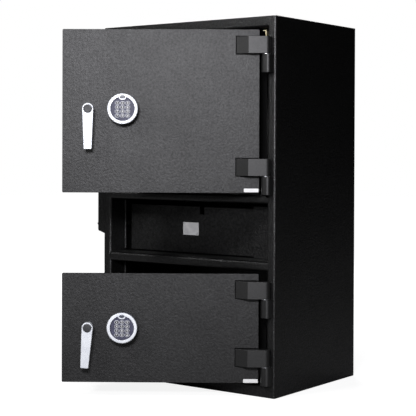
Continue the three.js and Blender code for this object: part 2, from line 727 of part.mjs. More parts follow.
// Shaft through the door with the crank, which points down and towards the hinges when the bolts are drawn
function handleSpindle(door) {
  const crankRear = door.boltY - BAR_STEEL / 2 - CRANK_GAP;
  const crankFront = crankRear - CRANK_STEEL;
  const shaftFront = DOOR_FACE - NECK_GAP - SOCKET_DEPTH + FIT_GAP;
  let spindle = rodY(SHAFT_RADIUS, shaftFront, crankRear, 0, 0, MEDIUM_ROUND);
  spindle = spindle.add(rodY(CRANK_HUB_RADIUS, crankFront, crankRear, 0, 0, MEDIUM_ROUND));
  const pinEnd = door.boltY + BAR_STEEL / 2 + CRANK_PIN_END;
  let crank = block(-CRANK_HALF, CRANK_HALF, crankFront, crankRear, -CRANK_RADIUS, 0);
  crank = crank.add(rodY(CRANK_HALF, crankFront, crankRear, 0, -CRANK_RADIUS, SMALL_ROUND));
  crank = crank.add(rodY(CRANK_PIN_RADIUS, crankFront, pinEnd, 0, -CRANK_RADIUS, SMALL_ROUND));
  return spindle.add(crank.rotate([0, -HALF_TURN, 0]));
}

// Place of a key in the keypad, by row and column
function keyPlace(door, row, column) {
  const x = door.keypadX + (column - 1) * KEY_PITCH_X;
  const z = door.row - KEY_DROP + ((KEY_NAMES.length - 1) / 2 - row) * KEY_PITCH_Z;
  return [x, z];
}

function keypadHousing(door) {
  const face = DOOR_FACE - KEYPAD_PROUD + FACE_RECESS;
  const shoulder = DOOR_FACE - KEYPAD_PROUD + RING_THICKNESS + FIT_GAP;
  const base = DOOR_FACE - FIT_GAP;
  const inner = RING_INNER - FIT_GAP;
  let housing = turn(
    [
      [0, base],
      [HOUSING_BASE_RADIUS, base],
      [HOUSING_TOP_RADIUS, shoulder],
      [inner, shoulder],
      [inner, face],
      [0, face],
    ].reverse(),
    door.keypadX,
    door.row,
    LARGE_ROUND,
  );
  const pocketRear = face + KEY_STEM + KEY_TRAVEL + KEY_PLAY;
  KEY_NAMES.forEach((names, row) =>
    names.forEach((_, column) => {
      const [x, z] = keyPlace(door, row, column);
      const halves = [KEY_HALF_WIDTH + KEY_PLAY, KEY_HALF_HEIGHT + KEY_PLAY];
      housing = housing.subtract(ovalY(...halves, face - CUT, pocketRear, x, z, SMALL_ROUND));
    }),
  );
  return housing;
}

// Bright ring round the face, with the lobe at the top that holds the indicator's window
function keypadRing(door) {
  const front = DOOR_FACE - KEYPAD_PROUD;
  const rear = front + RING_THICKNESS;
  const lobeRear = front + FACE_RECESS - FIT_GAP;
  const z = door.row + LOBE_RISE;
  let ring = turn(
    [
      [RING_INNER, rear],
      [RING_RADIUS, rear],
      [RING_RADIUS, front + RING_CHAMFER],
      [RING_RADIUS - RING_CHAMFER, front],
      [RING_INNER + RING_CHAMFER / 2, front],
      [RING_INNER, front + RING_CHAMFER / 2],
      [RING_INNER, rear],
    ].reverse(),
    door.keypadX,
    door.row,
    LARGE_ROUND,
  );
  const middle = (RING_INNER + RING_RADIUS) / 2;
  const disc = rodY(middle, front - CUT, rear, door.keypadX, door.row, LARGE_ROUND);
  const lobe = ovalY(LOBE_HALF_WIDTH, LOBE_HALF_HEIGHT, front, lobeRear, door.keypadX, z, MEDIUM_ROUND);
  ring = ring.add(lobe.intersect(disc));
  const halves = [WINDOW_HALF_WIDTH, WINDOW_HALF_HEIGHT];
  return ring.subtract(ovalY(...halves, front - CUT, lobeRear, door.keypadX, z, SMALL_ROUND));
}

function keypadKey(door, row, column) {
  const face = DOOR_FACE - KEYPAD_PROUD + FACE_RECESS;
  const [x, z] = keyPlace(door, row, column);
  const front = face - KEY_PROUD;
  const stem = ovalY(KEY_HALF_WIDTH, KEY_HALF_HEIGHT, front + KEY_BEVEL, face + KEY_STEM, x, z, SMALL_ROUND);
  const crown = new THREE.CylinderGeometry(1, 1 - KEY_BEVEL / KEY_HALF_HEIGHT, 2 * KEY_BEVEL, SMALL_ROUND);
  crown.scale(KEY_HALF_WIDTH, 1, KEY_HALF_HEIGHT);
  crown.translate(x, front + KEY_BEVEL, z);
  return stem.add(toSolid(crown));
}

function doorOf(name, low, high, boltShares, handleTurn) {
  const height = high - low;
  const boltLow = low + BOLT_END_INSET;
  const boltSpan = height - 2 * BOLT_END_INSET;
  return {
    name,
    low,
    high,
    handleTurn,
    row: low + height / 2 + ROW_RISE,
    handleX: DOOR_LEFT + HANDLE_FROM_EDGE,
    keypadX: DOOR_LEFT + KEYPAD_FROM_EDGE,
    boltY: DOOR_FACE + BOLT_SET_BACK,
    boltLevels: boltShares.map((share) => boltLow + share * boltSpan),
    hingeJoints: [high - HINGE_TOP_DROP, low + HINGE_LOW_RISE],
  };
}

// One door in its own group, which stands at the pin's axis and is turned to the rest angle
function doorGroup(door) {
  const group = new THREE.Group();
  const { name } = door;
  group.position.set(HINGE_X, HINGE_Y, 0);
  group.rotation.z = radians(DOOR_REST_ANGLE);
  group.add(toMesh(`${name}_door_plate`, doorPlate(door), paint));
  group.add(toMesh(`${name}_door_pan`, doorPan(door), innerPaint));
  door.hingeJoints.forEach((joint, i) => {
    group.add(toMesh(`${name}_hinge_arm_${i + 1}`, hingeArm(joint), paint));
  });
  group.add(toMesh(`${name}_lock_case`, lockCase(door), zincSteel));
  group.add(toMesh(`${name}_keypad_housing`, keypadHousing(door), housingPlastic));
  group.add(toMesh(`${name}_keypad_ring`, keypadRing(door), satinChrome));
  KEY_NAMES.forEach((names, row) =>
    names.forEach((label, column) => {
      group.add(toMesh(`${name}_key_${label}`, keypadKey(door, row, column), keyRubber));
    }),
  );

  const turned = door.handleTurn / (2 * HALF_TURN);
  const carriage = toMesh(`${name}_bolt_carriage`, boltCarriage(door), zincSteel);
  carriage.position.x = -BOLT_THROW * turned;
  group.add(carriage);
  const bolt = toMesh(`${name}_lock_bolt`, lockBolt(door), brass);
  bolt.position.x = -LOCK_BOLT_TRAVEL * turned;
  group.add(bolt);

  const handle = new THREE.Group();
  handle.position.set(door.handleX, 0, door.row);
  handle.rotation.y = radians(door.handleTurn);
  handle.add(toMesh(`${name}_handle_lever`, handleLever(), satinChrome));
  handle.add(toMesh(`${name}_handle_spindle`, handleSpindle(door), zincSteel));
  group.add(handle);
  return group;
}

const doors = [
  doorOf("upper", UPPER_OPENING_LOW + DOOR_END_GAP, UPPER_OPENING_HIGH - DOOR_END_GAP, UPPER_BOLT_SHARES, 0),
  doorOf(
    "lower",
    LOWER_OPENING_LOW + DOOR_END_GAP,
    LOWER_OPENING_HIGH - DOOR_END_GAP,
    LOWER_BOLT_SHARES,
    LOWER_HANDLE_TURN,
  ),
];

const safe = new THREE.Group();
safe.add(toMesh("safe_shell", safeShell(), paint));
safe.add(toMesh("back_panel", backPanel(), paint));
safe.add(toMesh("return_frame", returnFrame(), paint));
safe.add(toMesh("upper_shelf", upperShelf(), innerPaint));
safe.add(toMesh("bay_floor", bayFloor(), innerPaint));
safe.add(toMesh("bay_filler", bayFiller(), paint));
safe.add(toMesh("side_lock_housing", sideLockHousing(), paint));
safe.add(toMesh("side_lock_plug", sideLockPlug(), brass));
safe.add(toMesh("drawer_front", drawerFront(), paint));
safe.add(toMesh("drawer_box", drawerBox(), innerPaint));
for (const door of doors) {
  door.hingeJoints.forEach((joint, i) => {
    const knuckle = toMesh(`${door.name}_hinge_knuckle_${i + 1}`, hingeKnuckle(joint), paint);
    knuckle.position.set(HINGE_X, HINGE_Y, 0);
    safe.add(knuckle);
  });
  safe.add(doorGroup(door));
}

export default safe;
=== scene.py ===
# %% [markdown]
# # A drop safe, dressed step by step
# The safe stands 1.016 m tall. Two thick doors hang on block hinges, one above the other, and a
# deposit drawer sits set back in the bay between them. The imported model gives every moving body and
# its place. Here each visible piece gets its real edges, folds and finish.
# %% Load the frame
from math import cos, pi, radians, sin
import bpy
from mathutils import Matrix, Vector


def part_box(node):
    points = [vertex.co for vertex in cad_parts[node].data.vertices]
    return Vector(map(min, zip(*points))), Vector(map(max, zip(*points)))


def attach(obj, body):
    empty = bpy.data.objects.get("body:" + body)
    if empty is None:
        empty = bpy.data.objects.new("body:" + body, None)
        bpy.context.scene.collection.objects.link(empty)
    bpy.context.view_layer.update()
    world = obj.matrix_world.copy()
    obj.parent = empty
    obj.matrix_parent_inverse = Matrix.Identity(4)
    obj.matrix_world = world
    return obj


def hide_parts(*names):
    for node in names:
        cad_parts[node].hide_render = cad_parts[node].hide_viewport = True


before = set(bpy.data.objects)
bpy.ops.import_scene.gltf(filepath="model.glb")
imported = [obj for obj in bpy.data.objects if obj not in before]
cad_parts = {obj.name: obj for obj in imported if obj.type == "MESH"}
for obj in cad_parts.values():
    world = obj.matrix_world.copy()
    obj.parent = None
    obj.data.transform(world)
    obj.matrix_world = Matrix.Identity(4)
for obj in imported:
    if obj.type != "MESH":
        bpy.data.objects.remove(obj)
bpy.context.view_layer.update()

MM = 0.001

# %% [markdown]
# ## Sizes that many pieces share
# They are read off the frame where a node shows them, so a piece always meets what carries it. The
# doors are modelled closed, with the hinge pin as the origin, because every edge is then square to an
# axis. One matrix swings them out to where they stand.
# %% Shared sizes
BODY_LOW, BODY_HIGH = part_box("safe_shell")
HALF_WIDTH, FRONT, HEIGHT = BODY_HIGH.x, BODY_LOW.y, BODY_HIGH.z
STEEL = 5 * MM
OPENING_HALF = HALF_WIDTH - 27.5 * MM
RETURN_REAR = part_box("return_frame")[1].y
PIN = Vector((HALF_WIDTH - 21.5 * MM, FRONT - 12.5 * MM, 0))
DOOR_FACE = 12.5 * MM
SWING = radians(35.6)
DOOR_FRAME = Matrix.Translation(PIN) @ Matrix.Rotation(SWING, 4, "Z")
DOOR_LEFT = -OPENING_HALF + 11.3 * MM - PIN.x
DOOR_RIGHT = OPENING_HALF - 11.3 * MM - PIN.x
OPENINGS = {"lower": (34 * MM, 335.5 * MM), "bay": (362 * MM, 516.5 * MM), "upper": (539.5 * MM, 985 * MM)}
DOORS = {}
for name in ("upper", "lower"):
    low, high = (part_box(f"{name}_door_plate")[i].z for i in (0, 1))
    DOORS[name] = {"low": low, "high": high, "row": (low + high) / 2 + 4.5 * MM}
HANDLE_X = DOOR_LEFT + 72.4 * MM
KEYPAD_X = DOOR_LEFT + 163.6 * MM
print("door rows", {n: round(d["row"], 4) for n, d in DOORS.items()})

# %% [markdown]
# ## The camera
# The photograph was taken level with the upper door, so upright edges stay upright. A real studio
# camera does that with a shift lens. The Blender camera has the same shift, and only a little tilt.
# %% Camera
CAMERA_PLACE = (2.0361, -2.8593, 0.6581)
TURN, TILT, ROLL = radians(36.454), radians(90 - 0.567), radians(0.213)
camera_data = bpy.data.cameras.new("camera")
camera_data.lens = 103.54
camera_data.sensor_width = 36.0
camera_data.shift_y = -0.11
camera_data.clip_end = 50.0
camera = bpy.data.objects.new("camera", camera_data)
bpy.context.scene.collection.objects.link(camera)
camera.location = CAMERA_PLACE
aim = Matrix.Rotation(TURN, 3, "Z") @ Matrix.Rotation(TILT, 3, "X") @ Matrix.Rotation(ROLL, 3, "Z")
camera.rotation_euler = aim.to_euler()
bpy.context.scene.camera = camera
print("camera at", tuple(round(v, 3) for v in camera.location))

# %% [markdown]
# ## A few workshop habits
# Operators act on whatever is selected, so each step starts by clearing the selection. Faces and edges
# are then picked in code by where they lie. A finished piece gets its transform applied, so that its
# own coordinates are those of the room and its material can't slide.
# %% Selecting, picking and settling
def only(*objects):
    bpy.ops.object.select_all(action="DESELECT")
    for obj in objects:
        obj.select_set(True)
    if objects:
        bpy.context.view_layer.objects.active = objects[0]


def settle(obj, frame_matrix=None):
    if frame_matrix is not None:
        obj.matrix_world = frame_matrix @ obj.matrix_world
    only(obj)
    bpy.ops.object.transform_apply(location=True, rotation=True, scale=True)
    return obj


def mode(kind):
    bpy.ops.object.mode_set(mode=kind)


def round_edges(offset, segments=3):
    """Bevel the selected edges; more segments make a rounder edge."""
    bpy.ops.mesh.bevel(offset=offset, segments=segments, affect="EDGES")


def pick(obj, kind, test):
    """In edit mode, select the vertices, edges or faces that pass the test."""
    bpy.ops.mesh.select_mode(type=kind)
    bpy.ops.mesh.select_all(action="DESELECT")
    mode("OBJECT")
    data = obj.data
    if kind == "VERT":
        chosen = [v for v in data.vertices if test(v.co)]
    elif kind == "EDGE":
        ends = [[data.vertices[i].co for i in e.vertices] for e in data.edges]
        chosen = [e for e, (a, b) in zip(data.edges, ends) if test(a, b)]
    else:
        chosen = [p for p in data.polygons if test(p.center, p.normal)]
    for item in chosen:
        item.select = True
    mode("EDIT")
    return len(chosen)


def apply(obj, kind, **settings):
    """Add a modifier, set it up and apply it."""
    only(obj)
    modifier = obj.modifiers.new(kind.lower(), kind)
    for key, value in settings.items():
        setattr(modifier, key, value)
    bpy.ops.object.modifier_apply(modifier=modifier.name)


def smooth(obj):
    """Round bevels shade softly, and the large flats beside them stay flat."""
    only(obj)
    bpy.ops.object.shade_smooth_by_angle(angle=radians(28))
    apply(obj, "WEIGHTED_NORMAL", keep_sharp=True, weight=80)


print("workshop helpers", [tool.__name__ for tool in (only, settle, pick, round_edges, apply, smooth)])


# %% [markdown]
# ## Blocks and discs
# Most steel parts begin as a sawn block or a turned disc. A block is added between two corners and its
# edges are broken in edit mode, because a real edge is never razor sharp and it is the small round
# that catches the light. A disc lies in the door's plane, with its axis along Y.
# %% Block, disc and cutter helpers
def same(a, b):
    return abs(a - b) < 0.01 * MM


def block(name, low, high, edge=0.0):
    low, high = Vector(low), Vector(high)
    only()
    bpy.ops.mesh.primitive_cube_add(size=1, location=(low + high) / 2)
    obj = bpy.context.object
    obj.name = name
    obj.scale = high - low
    settle(obj)
    if edge:
        mode("EDIT")
        bpy.ops.mesh.select_all(action="SELECT")
        round_edges(edge)
        mode("OBJECT")
    return obj


def disc(name, radius, y0, y1, x, z, vertices=64, edge=0.0, half_height=None):
    """A round disc, or an oval one where half_height is given; edge rounds its front rim."""
    only()
    bpy.ops.mesh.primitive_cylinder_add(
        vertices=vertices, radius=1, depth=abs(y1 - y0), location=(x, (y0 + y1) / 2, z), rotation=(pi / 2, 0, 0)
    )
    obj = bpy.context.object
    obj.name = name
    obj.scale = (radius, half_height or radius, 1)
    settle(obj)
    if edge:
        front = min(y0, y1)
        mode("EDIT")
        pick(obj, "EDGE", lambda a, b: same(a.y, front) and same(b.y, front))
        round_edges(edge)
        mode("OBJECT")
    return obj


def bore(obj, cutter, operation="DIFFERENCE"):
    """Cut one piece with another, or weld them together, and drop the tool."""
    apply(obj, "BOOLEAN", object=cutter, operation=operation, solver="MANIFOLD")
    bpy.data.objects.remove(cutter)


def join(obj, *others):
    only(obj, *others)
    bpy.ops.object.join()
    return obj


def finish(obj, body, slot, *nodes):
    """Shade a piece, hide the nodes it stands for and let it ride on a body. The slot is not used."""
    smooth(obj)
    if nodes:
        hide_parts(*nodes)
    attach(obj, body)
    size = [round(v * 1000, 1) for v in obj.dimensions]
    print(obj.name, size, "mm on", body)
    return obj


print("shape helpers", [tool.__name__ for tool in (block, disc, bore, join, finish)])


# %% [markdown]
# ## Finishes
# A finish is a small graph of nodes on one shader. The helper below adds a node, fills its sockets and
# links it in one line, so that a graph reads from top to bottom. Patterns are read in Object
# coordinates, which are metres here, so a scale of 300 makes grains about 3 mm wide.
# %% Node helper
class Finish:
    def __init__(self, name, **settings):
        self.material = bpy.data.materials.new(name)
        self.material.use_nodes = True
        self.tree = self.material.node_tree
        self.shader = self.tree.nodes["Principled BSDF"]
        for key, value in settings.items():
            self.shader.inputs[key.replace("_", " ")].default_value = value
        self.place = self.add("ShaderNodeTexCoord").outputs["Object"]

    def add(self, kind, settings=None, **sockets):
        node = self.tree.nodes.new(kind)
        for key, value in (settings or {}).items():
            setattr(node, key, value)
        for key, value in sockets.items():
            socket = node.inputs[key.replace("_", " ")]
            if isinstance(value, bpy.types.NodeSocket):
                self.tree.links.new(value, socket)
            else:
                socket.default_value = value
        return node

    def noise(self, scale, detail=3.0, roughness=0.55, stretch=None):
        place = self.place
        if stretch:
            place = self.add("ShaderNodeMapping", Vector=place, Scale=stretch).outputs[0]
        node = self.add("ShaderNodeTexNoise", Vector=place, Scale=scale, Detail=detail, Roughness=roughness)
        return node.outputs["Fac"]

    def between(self, fac, low, high, dark, light):
        """Two colours, or two values, blended as fac goes from low to high."""
        ramp = self.add("ShaderNodeMapRange", Value=fac, From_Min=low, From_Max=high)
        if not isinstance(dark, tuple):
            ramp.inputs["To Min"].default_value = dark
            ramp.inputs["To Max"].default_value = light
            return ramp.outputs[0]
        mix = self.add("ShaderNodeMix", {"data_type": "RGBA"})
        mix.inputs[6].default_value = (*dark, 1)
        mix.inputs[7].default_value = (*light, 1)
        self.tree.links.new(ramp.outputs[0], mix.inputs[0])
        return mix.outputs[2]

    def bump(self, *layers):
        """Each layer is (height, strength, distance); they are chained into the normal."""
        normal = None
        for height, strength, distance in layers:
            sockets = {"Height": height, "Strength": strength, "Distance": distance}
            if normal:
                sockets["Normal"] = normal
            normal = self.add("ShaderNodeBump", **sockets).outputs[0]
        self.tree.links.new(normal, self.shader.inputs["Normal"])

    def times(self, first, second):
        """One pattern multiplied by another."""
        product = self.add("ShaderNodeMath", {"operation": "MULTIPLY"})
        self.tree.links.new(first, product.inputs[0])
        self.tree.links.new(second, product.inputs[1])
        return product.outputs[0]

    def link(self, **sockets):
        for key, value in sockets.items():
            self.tree.links.new(value, self.shader.inputs[key.replace("_", " ")])


print("finish helper", Finish.__name__)


# %% [markdown]
# ## Black powder coat
# The safe is sprayed with a black powder that flows out into a fine leathery grain when it is baked.
# Modelled grain would take millions of faces, so two noises make it: a coarse one of about 5 mm and a
# fine one of about 1 mm. Both also vary the gloss a little, which is what makes the doors sparkle. A
# third, as wide as a hand, leaves the faint clouds that handling leaves on dark paint. The cabinet's
# coat is a little glossier than the doors', and the hinges have a smooth enamel.
# %% Powder coat
def powder_coat(name, dark, light, gloss, shine, grain):
    """The shine is a range for a coat that sparkles, and one number for an even one."""
    paint = Finish(name)
    coarse = paint.noise(180, 5, 0.65)
    fine = paint.noise(900, 2, 0.5)
    paint.link(Base_Color=paint.between(coarse, 0.35, 0.7, dark, light))
    paint.link(Roughness=paint.between(fine, 0.3, 0.7, *gloss))
    if isinstance(shine, tuple):
        sparkle = paint.between(coarse, 0.3, 0.7, *shine)
        clouds = paint.between(paint.noise(7, 3, 0.6), 0.3, 0.7, 0.91, 1.09)
        paint.link(Specular_IOR_Level=paint.times(sparkle, clouds))
    else:
        paint.shader.inputs["Specular IOR Level"].default_value = shine
    paint.bump((coarse, grain, 0.0030), (fine, grain * 0.6, 0.0006))
    return paint.material


def black(value, blue=0.0):
    return (value, value, value + blue)


COAT = powder_coat("black powder coat", black(0.0015), black(0.003, 0.0005), (0.45, 0.54), (0.42, 0.70), 0.29)
CABINET_COAT = powder_coat(
    "glossy black powder coat", black(0.0020), black(0.0045), (0.30, 0.43), (0.38, 0.84), 0.45
)
SMOOTH_COAT = powder_coat("smooth black enamel", black(0.0015), black(0.003), (0.46, 0.54), (0.66, 0.78), 0.1)
INNER_COAT = powder_coat("dull black inside paint", black(0.002), black(0.004), (0.7, 0.85), 0.07, 0.3)
print("made", COAT.name, CABINET_COAT.name, SMOOTH_COAT.name, "and", INNER_COAT.name)


# %% [markdown]
# ## Metals
# The levers and the keypad rings are satin chrome: bright, with a faint brushed grain. The boltwork is
# zinc plated, greyer and blotchy. Stretching a noise along one axis gives the brushed look, because
# the grains become long hairs.
# %% Chrome, zinc and brass
def metal(name, dark, light, rough, stretch):
    steel = Finish(name, Metallic=1.0)
    hairs = steel.noise(60, 4, 0.6, stretch)
    blotches = steel.noise(40, 2, 0.5)
    steel.link(Base_Color=steel.between(blotches, 0.35, 0.65, dark, light))
    steel.link(Roughness=steel.between(hairs, 0.3, 0.7, *rough))
    steel.bump((hairs, 0.15, 0.0001))
    return steel.material


CHROME = metal("satin chrome", (0.77, 0.79, 0.83), (0.86, 0.88, 0.91), (0.60, 0.70), (20, 20, 2))
POLISHED = metal("polished steel", (0.66, 0.67, 0.70), (0.76, 0.77, 0.80), (0.24, 0.36), (8, 8, 30))
ZINC = metal("zinc plated steel", (0.36, 0.37, 0.39), (0.50, 0.51, 0.53), (0.32, 0.52), (3, 3, 30))
BRASS = metal("brass", (0.50, 0.35, 0.12), (0.62, 0.45, 0.17), (0.22, 0.36), (20, 3, 3))
YELLOW_ZINC = metal("yellow zinc plate", (0.72, 0.62, 0.34), (0.88, 0.82, 0.60), (0.45, 0.60), (4, 4, 4))
print("metals", [one.name for one in (CHROME, POLISHED, ZINC, BRASS, YELLOW_ZINC)])


# %% [markdown]
# ## Plastics, rubber and labels
# The keypad body is a dark blue-grey moulding with a fine spark texture, and the keys are grey silicone with a near
# black dish. The light grey of the key rims, and of the bezels round them, is a painted highlight along the raised
# rims. A fine noise in the gloss and a softer one in the colour keep them from looking like flat paint.
# %% Plastic finishes
def plastic(name, dark, light, rough, grain=0.12, scale=1500):
    moulding = Finish(name)
    fine = moulding.noise(scale, 2, 0.5)
    cloud = moulding.noise(70, 2, 0.5)
    moulding.link(Base_Color=moulding.between(cloud, 0.35, 0.65, dark, light))
    moulding.link(Roughness=moulding.between(fine, 0.3, 0.7, *rough))
    moulding.bump((fine, grain, 0.0001))
    return moulding.material


KEYPAD = plastic("keypad plastic", (0.040, 0.041, 0.074), (0.058, 0.060, 0.104), (0.50, 0.62))
# This light grey paints the highlight on the key rims and bezels; the key face itself is the dark dish below.
RIM_HIGHLIGHT_SILICONE = plastic("key silicone with painted rim highlight", (0.36, 0.37, 0.41), (0.44, 0.45, 0.49), (0.45, 0.60))
KEY_DISH = plastic("key dish", (0.030, 0.031, 0.036), (0.045, 0.046, 0.052), (0.40, 0.55))
DIGIT = plastic("white print", (0.78, 0.78, 0.80), (0.86, 0.86, 0.88), (0.5, 0.6))
CAP = plastic("dark cap", (0.026, 0.027, 0.030), (0.050, 0.051, 0.055), (0.46, 0.60), 0.3, 600)
WINDOW = plastic("indicator window", (0.050, 0.055, 0.075), (0.080, 0.088, 0.115), (0.30, 0.42), 0.02)
LABEL = plastic("white label", (0.82, 0.82, 0.82), (0.88, 0.88, 0.87), (0.45, 0.6))
PLATE = plastic("name plate foil", (0.46, 0.46, 0.46), (0.56, 0.56, 0.55), (0.35, 0.5))
print("materials", len(bpy.data.materials))


# %% [markdown]
# ## Putting a finish on
# A new piece has no material slot and a node of the frame already has one, so the helper clears the
# slots before it adds the finish.
# %% Assign a finish
def coat(obj, *materials):
    obj.data.materials.clear()
    for material in materials:
        obj.data.materials.append(material)
    return obj


NODE_FINISH = {
    "upper_shelf": INNER_COAT, "bay_floor": INNER_COAT, "drawer_box": INNER_COAT, "back_panel": COAT,
    "return_frame": COAT, "safe_shell": COAT, "bay_filler": COAT, "drawer_front": COAT,
    "side_lock_housing": COAT, "side_lock_plug": BRASS,
}
for name in DOORS:
    NODE_FINISH |= {f"{name}_{part}": COAT for part in ("door_plate", "hinge_arm_1", "hinge_arm_2")}
    NODE_FINISH |= {f"{name}_hinge_knuckle_{i}": COAT for i in (1, 2)}
    NODE_FINISH |= {f"{name}_{part}": ZINC for part in ("bolt_carriage", "handle_spindle", "lock_case")}
    NODE_FINISH |= {f"{name}_lock_bolt": BRASS, f"{name}_door_pan": INNER_COAT}
    NODE_FINISH |= {f"{name}_keypad_housing": KEYPAD, f"{name}_keypad_ring": CHROME, f"{name}_handle_lever": CHROME}
for name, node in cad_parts.items():
    coat(node, NODE_FINISH.get(name, RIM_HIGHLIGHT_SILICONE))
print("finished nodes", len(NODE_FINISH))

# %% [markdown]
# ## The folded cabinet
# One sheet is wrapped round the sides and front and folded in at each opening, so its upright corners
# and the rims of the openings are rounded. It is modelled as that sheet: a box is opened at the back,
# its front is cut along the rims, the openings are taken out and their rims are pulled inwards. The
# folds are then rounded, and Solidify gives the sheet its 5 mm.
# %% Wrap the sheet
wrap = block("cabinet_wrap", BODY_LOW, BODY_HIGH)
mode("EDIT")
pick(wrap, "FACE", lambda c, n: n.y > 0.9)
bpy.ops.mesh.delete(type="FACE")
front_face = lambda c, n: n.y < -0.9
for place, normal in [((x, 0, 0), (1, 0, 0)) for x in (-OPENING_HALF, OPENING_HALF)] + [
    ((0, 0, z), (0, 0, 1)) for pair in OPENINGS.values() for z in pair
]:
    pick(wrap, "FACE", front_face)
    bpy.ops.mesh.bisect(plane_co=place, plane_no=normal)


def in_opening(centre, normal):
    inside = any(low < centre.z < high for low, high in OPENINGS.values())
    return normal.y < -0.9 and abs(centre.x) < OPENING_HALF and inside


print("faces over openings", pick(wrap, "FACE", in_opening))
bpy.ops.mesh.delete(type="FACE")


# %% [markdown]
# The rims are found as edges that lie in the front plane and on the border of an opening. They are
# extruded back to make the returns.
# %% Fold the returns
SLACK = 0.1 * MM
RIM_ROUND, FOLD_ROUND, SEAM_ROUND = 8.4 * MM, 6 * MM, 1.2 * MM


def on_rim(a, b):
    if not (same(a.y, FRONT) and same(b.y, FRONT)):
        return False
    for low, high in OPENINGS.values():
        upright = same(abs(a.x), OPENING_HALF) and same(a.x, b.x)
        if upright and low - SLACK < min(a.z, b.z) and max(a.z, b.z) < high + SLACK:
            return True
        level = same(a.z, b.z) and (same(a.z, low) or same(a.z, high))
        if level and max(abs(a.x), abs(b.x)) < OPENING_HALF + SLACK:
            return True
    return False


def upright_fold(a, b):
    return same(abs(a.x), HALF_WIDTH) and same(a.x, b.x) and same(a.y, FRONT) and same(b.y, FRONT)


pick(wrap, "EDGE", on_rim)
bpy.ops.mesh.extrude_region_move(TRANSFORM_OT_translate={"value": (0, RETURN_REAR - FRONT, 0)})
pick(wrap, "EDGE", on_rim)
round_edges(RIM_ROUND, 7)
pick(wrap, "EDGE", upright_fold)
round_edges(FOLD_ROUND, 6)
bpy.ops.mesh.select_all(action="SELECT")
bpy.ops.mesh.normals_make_consistent(inside=False)
mode("OBJECT")
print("sheet faces", len(wrap.data.polygons))

# %% [markdown]
# The top and bottom edges are welded seams, so they are only eased. Solidify then thickens the sheet
# towards its inside, which keeps every outer size as it was. One hole lets the side lock through.
# %% Ease, thicken and drill
def outer_seam(a, b):
    level = same(a.z, b.z) and (same(a.z, 0) or same(a.z, HEIGHT))
    return level and not (same(a.y, BODY_HIGH.y) and same(b.y, BODY_HIGH.y))


mode("EDIT")
pick(wrap, "EDGE", outer_seam)
round_edges(SEAM_ROUND)
mode("OBJECT")
side = max(wrap.data.polygons, key=lambda p: p.center.x)
print("side faces outwards", side.normal.x > 0.9)
apply(wrap, "SOLIDIFY", thickness=STEEL, offset=-1, use_even_offset=True)
PLUG_LOW, PLUG_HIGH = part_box("side_lock_plug")
PLUG_Y, PLUG_Z = -117 * MM, (PLUG_LOW.z + PLUG_HIGH.z) / 2
PLUG_HOLE = 7.4 * MM
only()
bpy.ops.mesh.primitive_cylinder_add(
    vertices=48, radius=PLUG_HOLE, depth=20 * MM, location=(-HALF_WIDTH, PLUG_Y, PLUG_Z), rotation=(0, pi / 2, 0)
)
bore(wrap, bpy.context.object)
finish(coat(wrap, CABINET_COAT), "cabinet", "powder_coat", "safe_shell", "return_frame")

# %% [markdown]
# A narrow strip runs up the rear edge of each side return and stiffens it. It shows as a thin bright
# line at the back of the bay's left cheek.
# %% Stiffening strips
STRIP_WIDTH, STRIP_DEPTH, STRIP_ROUND = 4.5 * MM, 6 * MM, 3.5 * MM
STRIP_FRONT = RETURN_REAR - STRIP_DEPTH
for name, (low, high) in OPENINGS.items():
    for side_name, sign in (("left", -1), ("right", 1)):
        outer, inner = sign * OPENING_HALF, sign * (OPENING_HALF - STRIP_WIDTH)
        strip = block(
            f"{name}_strip_{side_name}",
            (min(outer, inner), STRIP_FRONT, low + STRIP_DEPTH),
            (max(outer, inner), RETURN_REAR, high - STRIP_DEPTH),
        )
        mode("EDIT")
        pick(strip, "EDGE", lambda *ends: all(same(p.x, inner) and same(p.y, STRIP_FRONT) for p in ends))
        round_edges(STRIP_ROUND, 6)
        mode("OBJECT")
        finish(coat(strip, CABINET_COAT), "cabinet", "powder_coat")


# %% [markdown]
# ## Plates that are right as they are
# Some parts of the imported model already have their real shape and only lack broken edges. A copy of
# each is merged into one skin, flat faces are dissolved, and a narrow bevel is applied. The original
# node stays where it is and is only hidden.
# %% Dress a copy of a node
def dressed(node_name, edge):
    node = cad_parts[node_name]
    obj = node.copy()
    obj.data = node.data.copy()
    obj.parent = None
    obj.matrix_world = node.matrix_world
    bpy.context.scene.collection.objects.link(obj)
    obj.name = node_name + "_dressed"
    settle(obj)
    mode("EDIT")
    bpy.ops.mesh.select_all(action="SELECT")
    bpy.ops.mesh.remove_doubles(threshold=0.01 * MM)
    bpy.ops.mesh.dissolve_limited(angle_limit=radians(1))
    bpy.ops.mesh.normals_make_consistent(inside=False)
    mode("OBJECT")
    apply(obj, "BEVEL", width=edge, segments=3, limit_method="ANGLE", angle_limit=radians(40))
    return obj


for node_name, material, slot in [
    ("back_panel", CABINET_COAT, "powder_coat"),
    ("upper_shelf", INNER_COAT, "inner_coat"),
    ("bay_floor", INNER_COAT, "inner_coat"),
    ("bay_filler", CABINET_COAT, "powder_coat"),
]:
    finish(coat(dressed(node_name, 0.7 * MM), material), "cabinet", slot, node_name)

# %% [markdown]
# ## The lock guard on the side wall
# A shallow pressed guard stands on the left wall and holds the key plug of the drawer. Its rim is
# rounded over, and one screw head stands a little proud of it.
# %% Side lock guard and screw
guard = dressed("side_lock_housing", 1.2 * MM)
GUARD_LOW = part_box("side_lock_housing")[0]
SCREW_PLACE = (GUARD_LOW.x - 0.7 * MM, GUARD_LOW.y + 3.6 * MM, PLUG_Z)
only()
bpy.ops.mesh.primitive_cylinder_add(
    vertices=32, radius=3.4 * MM, depth=5 * MM, location=SCREW_PLACE, rotation=(0, pi / 2, 0)
)
screw = settle(bpy.context.object)
mode("EDIT")
pick(screw, "EDGE", lambda a, b: same(a.x, b.x) and a.x < GUARD_LOW.x)
round_edges(1.2 * MM)
mode("OBJECT")
bore(guard, screw, "UNION")
finish(coat(guard, CABINET_COAT), "cabinet", "powder_coat", "side_lock_housing")

